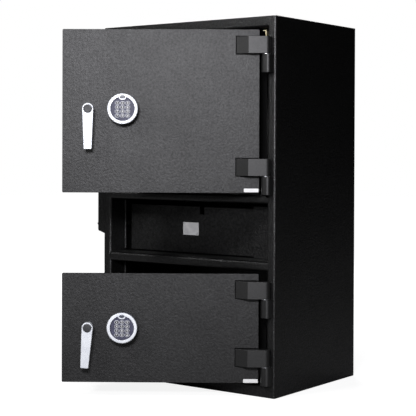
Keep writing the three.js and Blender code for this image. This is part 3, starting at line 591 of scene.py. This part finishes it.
# %% [markdown]
# The plug has a brass head with a keyway, cut with a thin block. The shaft and cam behind the wall keep
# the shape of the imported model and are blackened, so they get a second material.
# %% Key plug
plug = dressed("side_lock_plug", 0.5 * MM)
KEYWAY_WIDE, KEYWAY_TALL = 1.1 * MM, 4.5 * MM  # half sizes
keyway = block(
    "keyway",
    (PLUG_LOW.x - 1 * MM, PLUG_Y - KEYWAY_WIDE, PLUG_Z - KEYWAY_TALL),
    (PLUG_LOW.x + 2 * MM, PLUG_Y + KEYWAY_WIDE, PLUG_Z + KEYWAY_TALL),
)
bore(plug, keyway)
coat(plug, BRASS, INNER_COAT)
mode("EDIT")
print("dark faces behind the wall", pick(plug, "FACE", lambda c, n: c.x > -HALF_WIDTH + 4 * MM))
plug.active_material_index = 1
bpy.ops.object.material_slot_assign()
mode("OBJECT")
finish(plug, "side_lock", "brass", "side_lock_plug")

# %% [markdown]
# ## Hinge knuckles
# Each hinge has a block welded to the front of the cabinet, with a pin standing in it, and an arm on
# the door that drops over the pin. The block is one cube with two upright edges rounded: fully round
# at the pin, and a smaller radius at the outer corner.
# %% One knuckle
JOINTS = {(d, i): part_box(f"{d}_hinge_arm_{i}")[0].z for d in DOORS for i in (1, 2)}
BARREL = 12.2 * MM
KNUCKLE_RIGHT = HALF_WIDTH - 5.5 * MM
KNUCKLE_HEIGHT, KNUCKLE_GAP, KNUCKLE_ROUND = 50 * MM, 1.8 * MM, 8 * MM
HINGE_EDGE = 0.9 * MM


def ease_ends(obj, edge):
    """Round the rims of the top and bottom faces."""
    pick(obj, "FACE", lambda c, n: abs(n.z) > 0.9)
    bpy.ops.mesh.region_to_loop()
    round_edges(edge)


def make_knuckle(level):
    knuckle = block(
        "knuckle",
        (PIN.x - BARREL, PIN.y - BARREL, level - KNUCKLE_HEIGHT),
        (KNUCKLE_RIGHT, FRONT - 0.02 * MM, level - KNUCKLE_GAP),
    )
    mode("EDIT")
    upright = lambda a, b: same(a.x, b.x) and same(a.y, b.y) and same(a.y, PIN.y - BARREL)
    pick(knuckle, "EDGE", lambda a, b: upright(a, b) and a.x < PIN.x)
    round_edges(BARREL - 0.1 * MM, 10)
    pick(knuckle, "EDGE", lambda a, b: upright(a, b) and a.x > PIN.x + 5 * MM)
    round_edges(KNUCKLE_ROUND, 8)
    ease_ends(knuckle, HINGE_EDGE)
    mode("OBJECT")
    return coat(knuckle, SMOOTH_COAT)


print("hinge joints at", [round(level, 3) for level in JOINTS.values()])


# %% [markdown]
# The pin is polished and carries a thin washer, which shows as a small glint between knuckle and arm.
# %% Pins, washers and the four knuckles
PIN_RADIUS, PIN_LENGTH = 6 * MM, 34 * MM
WASHER_RADIUS, WASHER_THICKNESS = 11.6 * MM, 1.5 * MM


def make_pin(level):
    only()
    bpy.ops.mesh.primitive_cylinder_add(
        vertices=32, radius=PIN_RADIUS, depth=PIN_LENGTH, location=(PIN.x, PIN.y, level + 14.5 * MM)
    )
    pin = settle(bpy.context.object)
    mode("EDIT")
    pick(pin, "FACE", lambda c, n: n.z > 0.9)
    bpy.ops.mesh.inset(thickness=1.2 * MM)
    bpy.ops.transform.translate(value=(0, 0, 0.5 * MM))
    mode("OBJECT")
    bpy.ops.mesh.primitive_cylinder_add(
        vertices=48, radius=WASHER_RADIUS, depth=WASHER_THICKNESS, location=(PIN.x, PIN.y, level - 0.9 * MM)
    )
    washer = settle(bpy.context.object)
    mode("EDIT")
    ease_ends(washer, 0.4 * MM)
    mode("OBJECT")
    return coat(join(pin, washer), POLISHED)


for (door, i), level in JOINTS.items():
    knuckle, pin = make_knuckle(level), make_pin(level)
    knuckle.name, pin.name = f"{door}_knuckle_{i}", f"{door}_hinge_pin_{i}"
    finish(knuckle, "cabinet", "powder_coat", f"{door}_hinge_knuckle_{i}")
    finish(pin, "cabinet", "zinc_steel")

# %% [markdown]
# ## Door plates
# Each door is a 12 mm plate. Its four corners are rounded, then the rims of the front and back are
# eased. A hole takes the neck of the lever.
# %% Both plates
DOOR_BACK = DOOR_FACE + 12 * MM


def ring_edges(obj, y):
    """Pick the edges that lie in the plane at y."""
    pick(obj, "EDGE", lambda a, b: same(a.y, y) and same(b.y, y))


def corner(a, b):
    """True for an edge that runs from front to back."""
    return same(a.x, b.x) and same(a.z, b.z)


for name, door in DOORS.items():
    plate = block(f"{name}_plate", (DOOR_LEFT, DOOR_FACE, door["low"]), (DOOR_RIGHT, DOOR_BACK, door["high"]))
    mode("EDIT")
    pick(plate, "EDGE", corner)
    round_edges(3 * MM, 5)
    for y in (DOOR_FACE, DOOR_BACK):
        ring_edges(plate, y)
        round_edges(1.1 * MM)
    mode("OBJECT")
    bore(plate, disc("hole", 12.2 * MM, DOOR_FACE - 5 * MM, DOOR_FACE + 20 * MM, HANDLE_X, door["row"]))
    settle(plate, DOOR_FRAME)
    finish(coat(plate, COAT), f"{name}_door", "powder_coat", f"{name}_door_plate")

# %% [markdown]
# ## Hinge arms
# The arm lies on the door face and thickens towards the pin: a thin foot, a ramp, a flat, and a round
# end about the pin. It is one block, cut once where the ramp begins, with the foot's front edge then
# pushed back towards the door.
# %% Four arms
ARM_TIP, ARM_BEND, ARM_HEIGHT, FOOT_THICKNESS = -78.5 * MM, -47 * MM, 45.5 * MM, 4 * MM


def make_arm(level):
    arm = block("arm", (ARM_TIP, -BARREL, level), (BARREL, DOOR_FACE - 0.1 * MM, level + ARM_HEIGHT))
    mode("EDIT")
    bpy.ops.mesh.select_all(action="SELECT")
    bpy.ops.mesh.bisect(plane_co=(ARM_BEND, 0, 0), plane_no=(1, 0, 0))
    pick(arm, "VERT", lambda v: v.x < ARM_TIP + 0.5 * MM and v.y < 0)
    bpy.ops.transform.translate(value=(0, DOOR_FACE - FOOT_THICKNESS + BARREL, 0))
    pick(arm, "EDGE", lambda a, b: same(a.x, BARREL) and same(b.x, BARREL) and same(a.y, b.y))
    round_edges(BARREL - 0.05 * MM, 10)
    ease_ends(arm, HINGE_EDGE)
    mode("OBJECT")
    only()
    bpy.ops.mesh.primitive_cylinder_add(
        vertices=32, radius=PIN_RADIUS + 0.3 * MM, depth=36 * MM, location=(0, 0, level + 15 * MM)
    )
    bore(arm, bpy.context.object)
    return coat(arm, SMOOTH_COAT)


for (door, i), level in JOINTS.items():
    arm = settle(make_arm(level), DOOR_FRAME)
    arm.name = f"{door}_arm_{i}"
    finish(arm, f"{door}_door", "powder_coat", f"{door}_hinge_arm_{i}")

# %% [markdown]
# A thin strip of dull black paint runs round each foot, where the arm meets the plate. It is painted shade: it
# draws the dark shadow line that sets the arm off from the door.
# %% Four painted shade strips
SHADE_STRIP_FRONT = DOOR_FACE - 0.7 * MM
for (door, i), level in JOINTS.items():
    shade_strip = block(
        f"{door}_bead_{i}",
        (ARM_TIP - 2.4 * MM, SHADE_STRIP_FRONT, level - 2.2 * MM),
        (DOOR_RIGHT - 1.5 * MM, DOOR_FACE - 0.02 * MM, level + ARM_HEIGHT + 2.6 * MM),
    )
    mode("EDIT")
    ring_edges(shade_strip, SHADE_STRIP_FRONT)
    round_edges(0.5 * MM)
    mode("OBJECT")
    settle(shade_strip, DOOR_FRAME)
    # The dull black strip paints the shade and shadow round the arm's foot.
    finish(coat(shade_strip, INNER_COAT), f"{door}_door", "inner_coat")


# %% [markdown]
# ## Copies for the lower door
# Lever, keypad and keys are the same on both doors, so each is modelled once, on the upper door, and
# copied down. Every copy gets a mesh of its own.
# %% Copy helper
ROW = DOORS["upper"]["row"]
DROP = DOORS["lower"]["row"] - ROW


def twin(obj, name, shift=(0, 0, 0)):
    only(obj)
    bpy.ops.object.duplicate()
    copy = bpy.context.object
    copy.name = name
    copy.location = Vector(shift)
    return settle(copy)


def both_doors(obj, part, suffix, slot, *nodes):
    """Give the piece to the upper door and a copy of it to the lower one."""
    pieces = {"upper": obj, "lower": twin(obj, f"lower_{part}", (0, 0, DROP))}
    obj.name = f"upper_{part}"
    for name, piece in pieces.items():
        settle(piece, DOOR_FRAME)
        finish(piece, f"{name}_{suffix}", slot, *[f"{name}_{node}" for node in nodes])


print("from the upper keypad to the lower one", round(DROP * 1000, 1), "mm")


# %% [markdown]
# ## The lever
# Half a disc makes the boss. Its flat underside is extruded down and narrowed, which gives the long
# tapered blade with straight sides. The front rim is rounded generously because a hand closes on it.
# %% Lever
LEVER_FRONT, LEVER_BACK = -28.8 * MM, -16.5 * MM
BOSS_RADIUS, TIP_TAPER, BLADE_LENGTH = 15 * MM, 10.6 / 15, 106.4 * MM
lever = disc("lever", BOSS_RADIUS, LEVER_FRONT, LEVER_BACK, HANDLE_X, ROW, vertices=72)
mode("EDIT")
bpy.ops.mesh.select_all(action="SELECT")
bpy.ops.mesh.bisect(plane_co=(0, 0, ROW), plane_no=(0, 0, 1), clear_inner=True, use_fill=True)
pick(lever, "FACE", lambda c, n: n.z < -0.9)
bpy.ops.mesh.extrude_region_move(TRANSFORM_OT_translate={"value": (0, 0, -BLADE_LENGTH)})
bpy.ops.transform.resize(value=(TIP_TAPER, 1, 1), center_override=(HANDLE_X, 0, ROW))
end = ROW - BLADE_LENGTH
pick(lever, "EDGE", lambda a, b: same(a.z, end) and same(b.z, end) and same(a.x, b.x))
round_edges(2 * MM, 5)
ring_edges(lever, LEVER_FRONT)
round_edges(1.5 * MM, 5)
ring_edges(lever, LEVER_BACK)
round_edges(1.2 * MM)
bpy.ops.mesh.select_all(action="SELECT")
bpy.ops.mesh.normals_make_consistent(inside=False)
mode("OBJECT")
bore(lever, disc("seat", 11.7 * MM, -40 * MM, -28.0 * MM, HANDLE_X, ROW))
bore(lever, disc("neck", 11.5 * MM, -20 * MM, 11.9 * MM, HANDLE_X, ROW), "UNION")
coat(lever, CHROME)
print("lever", [round(v * 1000, 1) for v in lever.dimensions])

# %% [markdown]
# A dark cap is pressed into the boss. Its face is domed: the rim of a disc is rounded and the middle
# is pushed out a little. The lower lever leans by four degrees.
# %% Lever cap and the two levers
cap = disc("cap", 11.5 * MM, -28.7 * MM, -27.9 * MM, HANDLE_X, ROW, edge=0.5 * MM)
mode("EDIT")
pick(cap, "FACE", lambda c, n: n.y < -0.95)
for thickness, rise in ((3 * MM, 0.35 * MM), (3 * MM, 0.2 * MM)):
    bpy.ops.mesh.inset(thickness=thickness)
    bpy.ops.transform.translate(value=(0, -rise, 0))
mode("OBJECT")
coat(cap, CAP)
levers = {"upper": lever, "lower": twin(lever, "lower_lever", (0, 0, DROP))}
caps = {"upper": cap, "lower": twin(cap, "lower_cap", (0, 0, DROP))}
lever.name, cap.name = "upper_lever", "upper_cap"
LEAN = {"upper": 0, "lower": radians(4)}
for name, door in DOORS.items():
    boss = Vector((HANDLE_X, 0, door["row"]))
    lean = Matrix.Translation(boss) @ Matrix.Rotation(LEAN[name], 4, "Y")
    place = DOOR_FRAME @ lean @ Matrix.Translation(-boss)
    settle(levers[name], place)
    settle(caps[name], place)
    finish(levers[name], f"{name}_handle", "satin_chrome", f"{name}_handle_lever")
    finish(caps[name], f"{name}_handle", "keypad_plastic")

# %% [markdown]
# ## Keypad housing
# The housing is a shallow tapered drum with a raised round face. Starting from a disc, the front is
# inset and pulled out to make the raised face, and the back is drawn in a little for the taper.
# Twelve oval pockets are then cut for the keys.
# %% Housing drum
KEYPAD_FACE = -22.5 * MM
SHOULDER = -17.2 * MM
DRUM_BACK = DOOR_FACE - 0.3 * MM
DRUM_RADIUS, DRUM_TAPER = 39 * MM, 37.5 / 39
housing = disc("housing", DRUM_RADIUS, SHOULDER, DRUM_BACK, KEYPAD_X, ROW, vertices=96)
mode("EDIT")
pick(housing, "FACE", lambda c, n: n.y > 0.9)
bpy.ops.transform.resize(value=(DRUM_TAPER, 1, DRUM_TAPER), center_override=(KEYPAD_X, DRUM_BACK, ROW))
pick(housing, "FACE", lambda c, n: n.y < -0.9)
bpy.ops.mesh.inset(thickness=7.8 * MM)
bpy.ops.mesh.extrude_region_move(TRANSFORM_OT_translate={"value": (0, KEYPAD_FACE - SHOULDER, 0)})
bpy.ops.mesh.region_to_loop()
round_edges(0.6 * MM)
ring_edges(housing, SHOULDER)
round_edges(0.8 * MM)
mode("OBJECT")
print("housing", [round(v * 1000, 1) for v in housing.dimensions])

# %% [markdown]
# The keys stand in four rows of three. Their places are worked out once, and serve the pockets, the
# bezels and the keys themselves.
# %% Key places, pockets and bezels
KEY_ROWS = (("1", "2", "3"), ("4", "5", "6"), ("7", "8", "9"), ("star", "0", "hash"))
KEY_ACROSS, KEY_DOWN, KEY_TOP = 13.8 * MM, 11.2 * MM, ROW + 15.3 * MM
KEY_PLACES = {}
for row, names in enumerate(KEY_ROWS):
    for column, key in enumerate(names):
        KEY_PLACES[key] = (KEYPAD_X + (column - 1) * KEY_ACROSS, KEY_TOP - row * KEY_DOWN)
pocket = disc("pocket", 6.3 * MM, -30 * MM, -17 * MM, 0, 0, vertices=40, half_height=5.1 * MM)
for key, (x, z) in KEY_PLACES.items():
    bore(housing, twin(pocket, "pocket_copy", (x, 0, z)))
bpy.data.objects.remove(pocket)
bezel = disc(
    "bezel", 6.85 * MM, KEYPAD_FACE - 0.6 * MM, KEYPAD_FACE + 0.2 * MM, 0, 0, vertices=40, half_height=5.6 * MM,
    edge=0.25 * MM,
)
bore(bezel, disc("inside", 6.2 * MM, -30 * MM, -10 * MM, 0, 0, vertices=40, half_height=5.0 * MM))
bezels = join(*[twin(bezel, f"bezel_{key}", (x, 0, z)) for key, (x, z) in KEY_PLACES.items()])
bpy.data.objects.remove(bezel)
both_doors(coat(housing, KEYPAD), "housing", "door", "keypad_plastic", "keypad_housing")
# The bezels' light grey paints the highlight along their raised rims.
both_doors(coat(bezels, RIM_HIGHLIGHT_SILICONE), "key_bezels", "door", "keypad_plastic")

# %% [markdown]
# ## The bright ring
# The ring is turned from a disc: both faces are inset, and bridging the two discs that are left takes
# them out and makes the inner wall. The rims are then rounded. A lobe at the top carries the indicator
# window.
# %% Ring
RING_FRONT = -25.5 * MM
RING_RADIUS, RING_WIDTH = 40.5 * MM, 8.6 * MM


def on_circle(a, b, radius):
    """True for an edge on the ring's front face that lies this far from its middle."""
    away = (Vector((a.x, 0, a.z)) - Vector((KEYPAD_X, 0, ROW))).length
    return same(a.y, RING_FRONT) and same(b.y, RING_FRONT) and abs(away - radius) < 0.3 * MM


ring = disc("ring", RING_RADIUS, RING_FRONT, SHOULDER - 0.3 * MM, KEYPAD_X, ROW, vertices=96)
mode("EDIT")
pick(ring, "FACE", lambda c, n: abs(n.y) > 0.9)
bpy.ops.mesh.inset(thickness=RING_WIDTH)
bpy.ops.mesh.bridge_edge_loops()
pick(ring, "EDGE", lambda a, b: on_circle(a, b, RING_RADIUS))
round_edges(2.2 * MM, 4)
pick(ring, "EDGE", lambda a, b: on_circle(a, b, RING_RADIUS - RING_WIDTH))
round_edges(0.6 * MM)
bpy.ops.mesh.select_all(action="SELECT")
bpy.ops.mesh.normals_make_consistent(inside=False)
mode("OBJECT")
print("ring", [round(v * 1000, 1) for v in ring.dimensions])

# %% [markdown]
# The lobe is a block whose lower corners are rounded. Its front rim is eased before it is welded on,
# and the window is then sunk into lobe and ring.
# %% Lobe and window
LOBE_HALF, LOBE_LOW, LOBE_HIGH, LOBE_BACK = 9.4 * MM, ROW + 23.6 * MM, ROW + 37 * MM, -22.8 * MM
WINDOW_Z = ROW + 31 * MM
lobe = block("lobe", (KEYPAD_X - LOBE_HALF, RING_FRONT, LOBE_LOW), (KEYPAD_X + LOBE_HALF, LOBE_BACK, LOBE_HIGH))
mode("EDIT")
pick(lobe, "EDGE", lambda a, b: corner(a, b) and same(a.z, LOBE_LOW))
round_edges(6 * MM, 6)
ring_edges(lobe, RING_FRONT)
round_edges(0.8 * MM)
mode("OBJECT")
bore(ring, lobe, "UNION")
bore(ring, disc("window hole", 7.3 * MM, -30 * MM, -20 * MM, KEYPAD_X, WINDOW_Z, vertices=40, half_height=4.5 * MM))
both_doors(coat(ring, CHROME), "ring", "door", "satin_chrome", "keypad_ring")

# %% [markdown]
# The indicator behind the window is a small dark lens with a low dome.
# %% Indicator lens
lens = disc("lens", 7.2 * MM, -24.4 * MM, -22.4 * MM, KEYPAD_X, WINDOW_Z, vertices=40, half_height=4.4 * MM)
mode("EDIT")
pick(lens, "FACE", lambda c, n: n.y < -0.9)
for thickness, rise in ((1.2 * MM, 0.3 * MM), (1.2 * MM, 0.15 * MM)):
    bpy.ops.mesh.inset(thickness=thickness)
    bpy.ops.transform.translate(value=(0, -rise, 0))
mode("OBJECT")
both_doors(coat(lens, WINDOW), "indicator_lens", "door", "keypad_plastic")


# %% [markdown]
# ## Keys
# One key is an oval post with a rounded rim and a shallow dish, made once and copied twenty-four
# times. The digit is text turned into a mesh, laid in the dish and joined to the key as its second
# material.
# %% The key and its digit
key_blank = disc("key", 6 * MM, -23.9 * MM, -18.5 * MM, 0, 0, vertices=40, half_height=4.8 * MM, edge=0.6 * MM)
mode("EDIT")
pick(key_blank, "FACE", lambda c, n: n.y < -0.98)
bpy.ops.mesh.inset(thickness=0.7 * MM)
bpy.ops.transform.translate(value=(0, 0.3 * MM, 0))
# The light grey on the key's rim and sides paints its rim highlight; the dish stays near black.
coat(key_blank, RIM_HIGHLIGHT_SILICONE, KEY_DISH)
key_blank.active_material_index = 1
bpy.ops.object.material_slot_assign()
mode("OBJECT")


def make_digit(text):
    only()
    bpy.ops.object.text_add()
    digit = bpy.context.object
    digit.data.body = text
    digit.data.size = 7.2 * MM
    digit.data.align_x = "CENTER"
    digit.data.align_y = "CENTER"
    digit.data.extrude = 0.12 * MM
    digit.data.offset = 0.14 * MM
    digit.data.resolution_u = 4
    bpy.ops.object.convert(target="MESH")
    digit.rotation_euler = (pi / 2, 0, 0)
    digit.location = (0, -23.66 * MM, 0)
    settle(digit)
    return coat(digit, DIGIT)


print("key", [round(v * 1000, 1) for v in key_blank.dimensions], "mm")


# %% [markdown]
# Every key rides on a body of its own, because each one can be pressed.
# %% Twenty-four keys
SIGNS = {"star": "*", "hash": "#"}
for key, (x, z) in KEY_PLACES.items():
    piece = join(twin(key_blank, f"key_{key}"), make_digit(SIGNS.get(key, key)))
    settle(piece, Matrix.Translation((x, 0, z)))
    both_doors(piece, f"key_{key}_top", f"key_{key}_cap", "key_rubber", f"key_{key}")
bpy.data.objects.remove(key_blank)

# %% [markdown]
# ## Boltwork behind the doors
# The pan, the carriage with its bolts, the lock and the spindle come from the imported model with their
# edges broken. The pan is painted like the inside, the lock's bolt is brass, and the rest is zinc
# plated.
# %% Boltwork
for name in DOORS:
    for node_name, edge, material, body, slot in [
        ("door_pan", 1.2, INNER_COAT, "door", "inner_coat"),
        ("bolt_carriage", 0.8, ZINC, "bolts", "zinc_steel"),
        ("lock_case", 1.0, ZINC, "door", "zinc_steel"),
        ("lock_bolt", 0.6, BRASS, "lock_tongue", "brass"),
        ("handle_spindle", 0.4, ZINC, "handle", "zinc_steel"),
    ]:
        piece = dressed(f"{name}_{node_name}", edge * MM)
        finish(coat(piece, material), f"{name}_{body}", slot, f"{name}_{node_name}")

# %% [markdown]
# ## Deposit drawer
# The drawer's front is a thick plate with a finger notch in its top edge. The notch is cut with a
# block whose lower corners are rounded, as a milling cutter would leave them.
# %% Drawer front and tray
FRONT_LOW, FRONT_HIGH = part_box("drawer_front")
NOTCH_HALF, NOTCH_LOW = 8 * MM, 475 * MM
panel = block("drawer_panel", FRONT_LOW, FRONT_HIGH, edge=1.2 * MM)
notch = block("notch", (-NOTCH_HALF, -150 * MM, NOTCH_LOW), (NOTCH_HALF, -110 * MM, 520 * MM))
mode("EDIT")
pick(notch, "EDGE", lambda a, b: corner(a, b) and same(a.z, NOTCH_LOW))
round_edges(4 * MM, 6)
mode("OBJECT")
bore(panel, notch)
finish(coat(panel, CABINET_COAT), "drawer", "powder_coat", "drawer_front")
finish(coat(dressed("drawer_box", 0.6 * MM), INNER_COAT), "drawer", "inner_coat", "drawer_box")

# %% [markdown]
# A small plate of matt foil is riveted to the panel. One rivet is made and copied to the corners.
# %% Plate and rivets
PLATE_X, PLATE_Z = -39 * MM, 433.5 * MM
PLATE_HALF = Vector((27.6 * MM, 0, 18.2 * MM))
PLATE_FRONT = FRONT_LOW.y - 1.2 * MM
RIVET_INSET = 4 * MM
tag = block(
    "name_plate",
    (PLATE_X - PLATE_HALF.x, PLATE_FRONT, PLATE_Z - PLATE_HALF.z),
    (PLATE_X + PLATE_HALF.x, FRONT_LOW.y - 0.05 * MM, PLATE_Z + PLATE_HALF.z),
)
mode("EDIT")
pick(tag, "EDGE", corner)
round_edges(1 * MM, 4)
ring_edges(tag, PLATE_FRONT)
round_edges(0.3 * MM)
mode("OBJECT")
rivet = disc("rivet", 1.7 * MM, FRONT_LOW.y - 2.0 * MM, FRONT_LOW.y - 0.8 * MM, 0, 0, vertices=24, edge=0.7 * MM)
across, up = PLATE_HALF.x - RIVET_INSET, PLATE_HALF.z - RIVET_INSET
rivets = [
    twin(rivet, "rivet_copy", (PLATE_X + sx * across, 0, PLATE_Z + sz * up)) for sx in (-1, 1) for sz in (-1, 1)
]
bpy.data.objects.remove(rivet)
finish(coat(tag, PLATE), "drawer", "satin_chrome")
finish(coat(join(*rivets), POLISHED), "drawer", "zinc_steel").name = "plate_rivets"

# %% [markdown]
# ## Small trim
# Each door has a small white label in its lower right corner, a little thicker than paper so that its
# edge shows.
# %% Labels
LABEL_LEFT, LABEL_RIGHT = -58 * MM, -19 * MM
LABEL_FRONT, LABEL_BACK = DOOR_FACE - 0.25 * MM, DOOR_FACE - 0.02 * MM
for name, low, rise in (("upper", 547.5 * MM, 9.5 * MM), ("lower", 40.3 * MM, 9.7 * MM)):
    label = block(f"{name}_label", (LABEL_LEFT, LABEL_FRONT, low), (LABEL_RIGHT, LABEL_BACK, low + rise))
    mode("EDIT")
    pick(label, "EDGE", corner)
    round_edges(1 * MM)
    mode("OBJECT")
    settle(label, DOOR_FRAME)
    finish(coat(label, LABEL), f"{name}_door", "keypad_plastic")

# %% [markdown]
# A yellow zinc bracket sits in the top right corner of the upper opening. It is a flat bar, cut twice, and the
# strip between the cuts is pulled down to make the leg. Its end beyond the leg is given the dull black inside
# paint, so it shows dark.
# %% Corner bracket
ANGLE_X, ANGLE_Z = OPENING_HALF - 11.5 * MM, OPENINGS["upper"][1] - 5 * MM
ANGLE_LEFT, LEG_LEFT = ANGLE_X - 11.5 * MM, ANGLE_X - 4 * MM
ANGLE_FRONT, ANGLE_BACK, LEG_DROP = -197 * MM, -185 * MM, 13 * MM
angle = block(
    "corner_angle",
    (ANGLE_LEFT, ANGLE_FRONT, ANGLE_Z - 2.4 * MM),
    (OPENING_HALF - 0.05 * MM, ANGLE_BACK, ANGLE_Z),
)
mode("EDIT")
for x in (LEG_LEFT, ANGLE_X):
    bpy.ops.mesh.select_all(action="SELECT")
    bpy.ops.mesh.bisect(plane_co=(x, 0, 0), plane_no=(1, 0, 0))
pick(angle, "FACE", lambda c, n: n.z < -0.9 and LEG_LEFT < c.x < ANGLE_X)
bpy.ops.mesh.extrude_region_move(TRANSFORM_OT_translate={"value": (0, 0, -LEG_DROP)})
bpy.ops.mesh.select_all(action="SELECT")
bpy.ops.mesh.normals_make_consistent(inside=False)
mode("OBJECT")
apply(angle, "BEVEL", width=0.4 * MM, segments=3, limit_method="ANGLE")
# The end towards the jamb gets the dull black paint and shows dark.
coat(angle, YELLOW_ZINC, INNER_COAT)
mode("EDIT")
pick(angle, "FACE", lambda c, n: c.x > ANGLE_X + 0.5 * MM)
angle.active_material_index = 1
bpy.ops.object.material_slot_assign()
mode("OBJECT")
finish(angle, "cabinet", "brass")

# %% [markdown]
# ## Floor
# The floor is a wide matt disc that glows where the camera looks at it. Near the safe the glow is a
# little weaker, so that the shadow shows. Further out it is even white, so that the floor runs into the
# background without a line.
# %% Floor
only()
bpy.ops.mesh.primitive_circle_add(vertices=96, radius=14, fill_type="NGON", location=(0, 0, -0.4 * MM))
floor = settle(bpy.context.object)
floor.name = "floor"
ground = Finish("studio floor", Roughness=0.9)
ground.shader.inputs["Specular IOR Level"].default_value = 0.1
GLOW_NEAR, GLOW_FAR = 0.88, 1.0
distance = ground.add("ShaderNodeVectorMath", {"operation": "LENGTH"})
ground.tree.links.new(ground.place, distance.inputs[0])
ground.link(Base_Color=ground.between(ground.noise(3), 0.3, 0.7, (0.26, 0.26, 0.26), (0.29, 0.29, 0.29)))
rays = ground.add("ShaderNodeLightPath")
looked_at = ground.add("ShaderNodeMath", {"operation": "MAXIMUM"})
ground.tree.links.new(rays.outputs["Is Camera Ray"], looked_at.inputs[0])
ground.tree.links.new(rays.outputs["Is Transmission Ray"], looked_at.inputs[1])
fade = ground.between(distance.outputs["Value"], 0.5, 1.6, GLOW_NEAR, GLOW_FAR)
ground.link(Emission_Strength=ground.times(fade, looked_at.outputs[0]))
ground.shader.inputs["Emission Color"].default_value = (1, 1, 1, 1)
coat(floor, ground.material)
print("floor radius", round(floor.dimensions.x / 2, 1), "m")


# %% [markdown]
# ## Light
# One soft box hangs above the camera and a little to its left, a weaker one stands further left, and a
# third lights the back. All three face the safe. The doors stand almost square to the camera and mirror
# the first box softly, which is why they look much lighter than the front of the cabinet.
# %% Soft boxes
AIM = Vector((0, 0, 0.6))


def soft_box(name, azimuth, elevation, distance, width, height, power, tint=(1, 1, 1)):
    """Angles in degrees, sizes and the distance from the aim in metres, power in watts."""
    data = bpy.data.lights.new(name, "AREA")
    data.shape = "RECTANGLE"
    data.size, data.size_y, data.energy = width, height, power
    data.color = tint
    lamp = bpy.data.objects.new(name, data)
    bpy.context.scene.collection.objects.link(lamp)
    a, e = radians(azimuth), radians(elevation)
    offset = distance * Vector((sin(a) * cos(e), -cos(a) * cos(e), sin(e)))
    lamp.location = AIM + offset
    lamp.rotation_euler = offset.to_track_quat("Z", "Y").to_euler()
    return lamp


key_light = soft_box("key light", 28.5, 13.6, 2.9, 0.6, 0.34, 57, (0.96, 0.955, 1.0))
side_light = soft_box("side light", -12, 30, 3.5, 0.5, 0.5, 43)
back_light = soft_box("back light", 215, 25, 3.5, 1.2, 1.2, 60)
for lamp in (key_light, side_light, back_light):
    print(lamp.name, lamp.data.energy, "W at", tuple(round(v, 2) for v in lamp.location))

# %% [markdown]
# The room itself is white where the camera or a transparent surface looks at it. Reflections see a
# soft grey on the camera's side and black behind the safe, as between a grey wall and a black curtain.
# %% World
world = bpy.data.worlds.new("studio")
bpy.context.scene.world = world
world.use_nodes = True
nodes, links = world.node_tree.nodes, world.node_tree.links
back = nodes["Background"]
rays = nodes.new("ShaderNodeLightPath")
WALL_SIDE = (0.59, -0.80, 0.10)
WALL_FADE = {"From Min": 0.35, "From Max": 1.0, "To Min": 0.0, "To Max": 0.25}
ROOM_LIGHT = 0.03
direction = nodes.new("ShaderNodeTexCoord")
towards = nodes.new("ShaderNodeVectorMath")
towards.operation = "DOT_PRODUCT"
towards.inputs[1].default_value = WALL_SIDE
links.new(direction.outputs["Generated"], towards.inputs[0])
wall = nodes.new("ShaderNodeMapRange")
wall.interpolation_type = "SMOOTHSTEP"
for key, value in WALL_FADE.items():
    wall.inputs[key].default_value = value
links.new(towards.outputs["Value"], wall.inputs["Value"])
seen = nodes.new("ShaderNodeMath")
seen.operation = "MAXIMUM"
links.new(rays.outputs["Is Camera Ray"], seen.inputs[0])
links.new(rays.outputs["Is Transmission Ray"], seen.inputs[1])
mirrored = nodes.new("ShaderNodeMix")
mirrored.inputs[2].default_value = ROOM_LIGHT
links.new(rays.outputs["Is Glossy Ray"], mirrored.inputs[0])
links.new(wall.outputs[0], mirrored.inputs[3])
strength = nodes.new("ShaderNodeMix")
strength.inputs[3].default_value = 1.0
links.new(seen.outputs[0], strength.inputs[0])
links.new(mirrored.outputs[0], strength.inputs[2])
links.new(strength.outputs[0], back.inputs["Strength"])
back.inputs["Color"].default_value = (1, 1, 1, 1)
bpy.context.scene.view_settings.view_transform = "Standard"
print("world nodes", len(nodes))
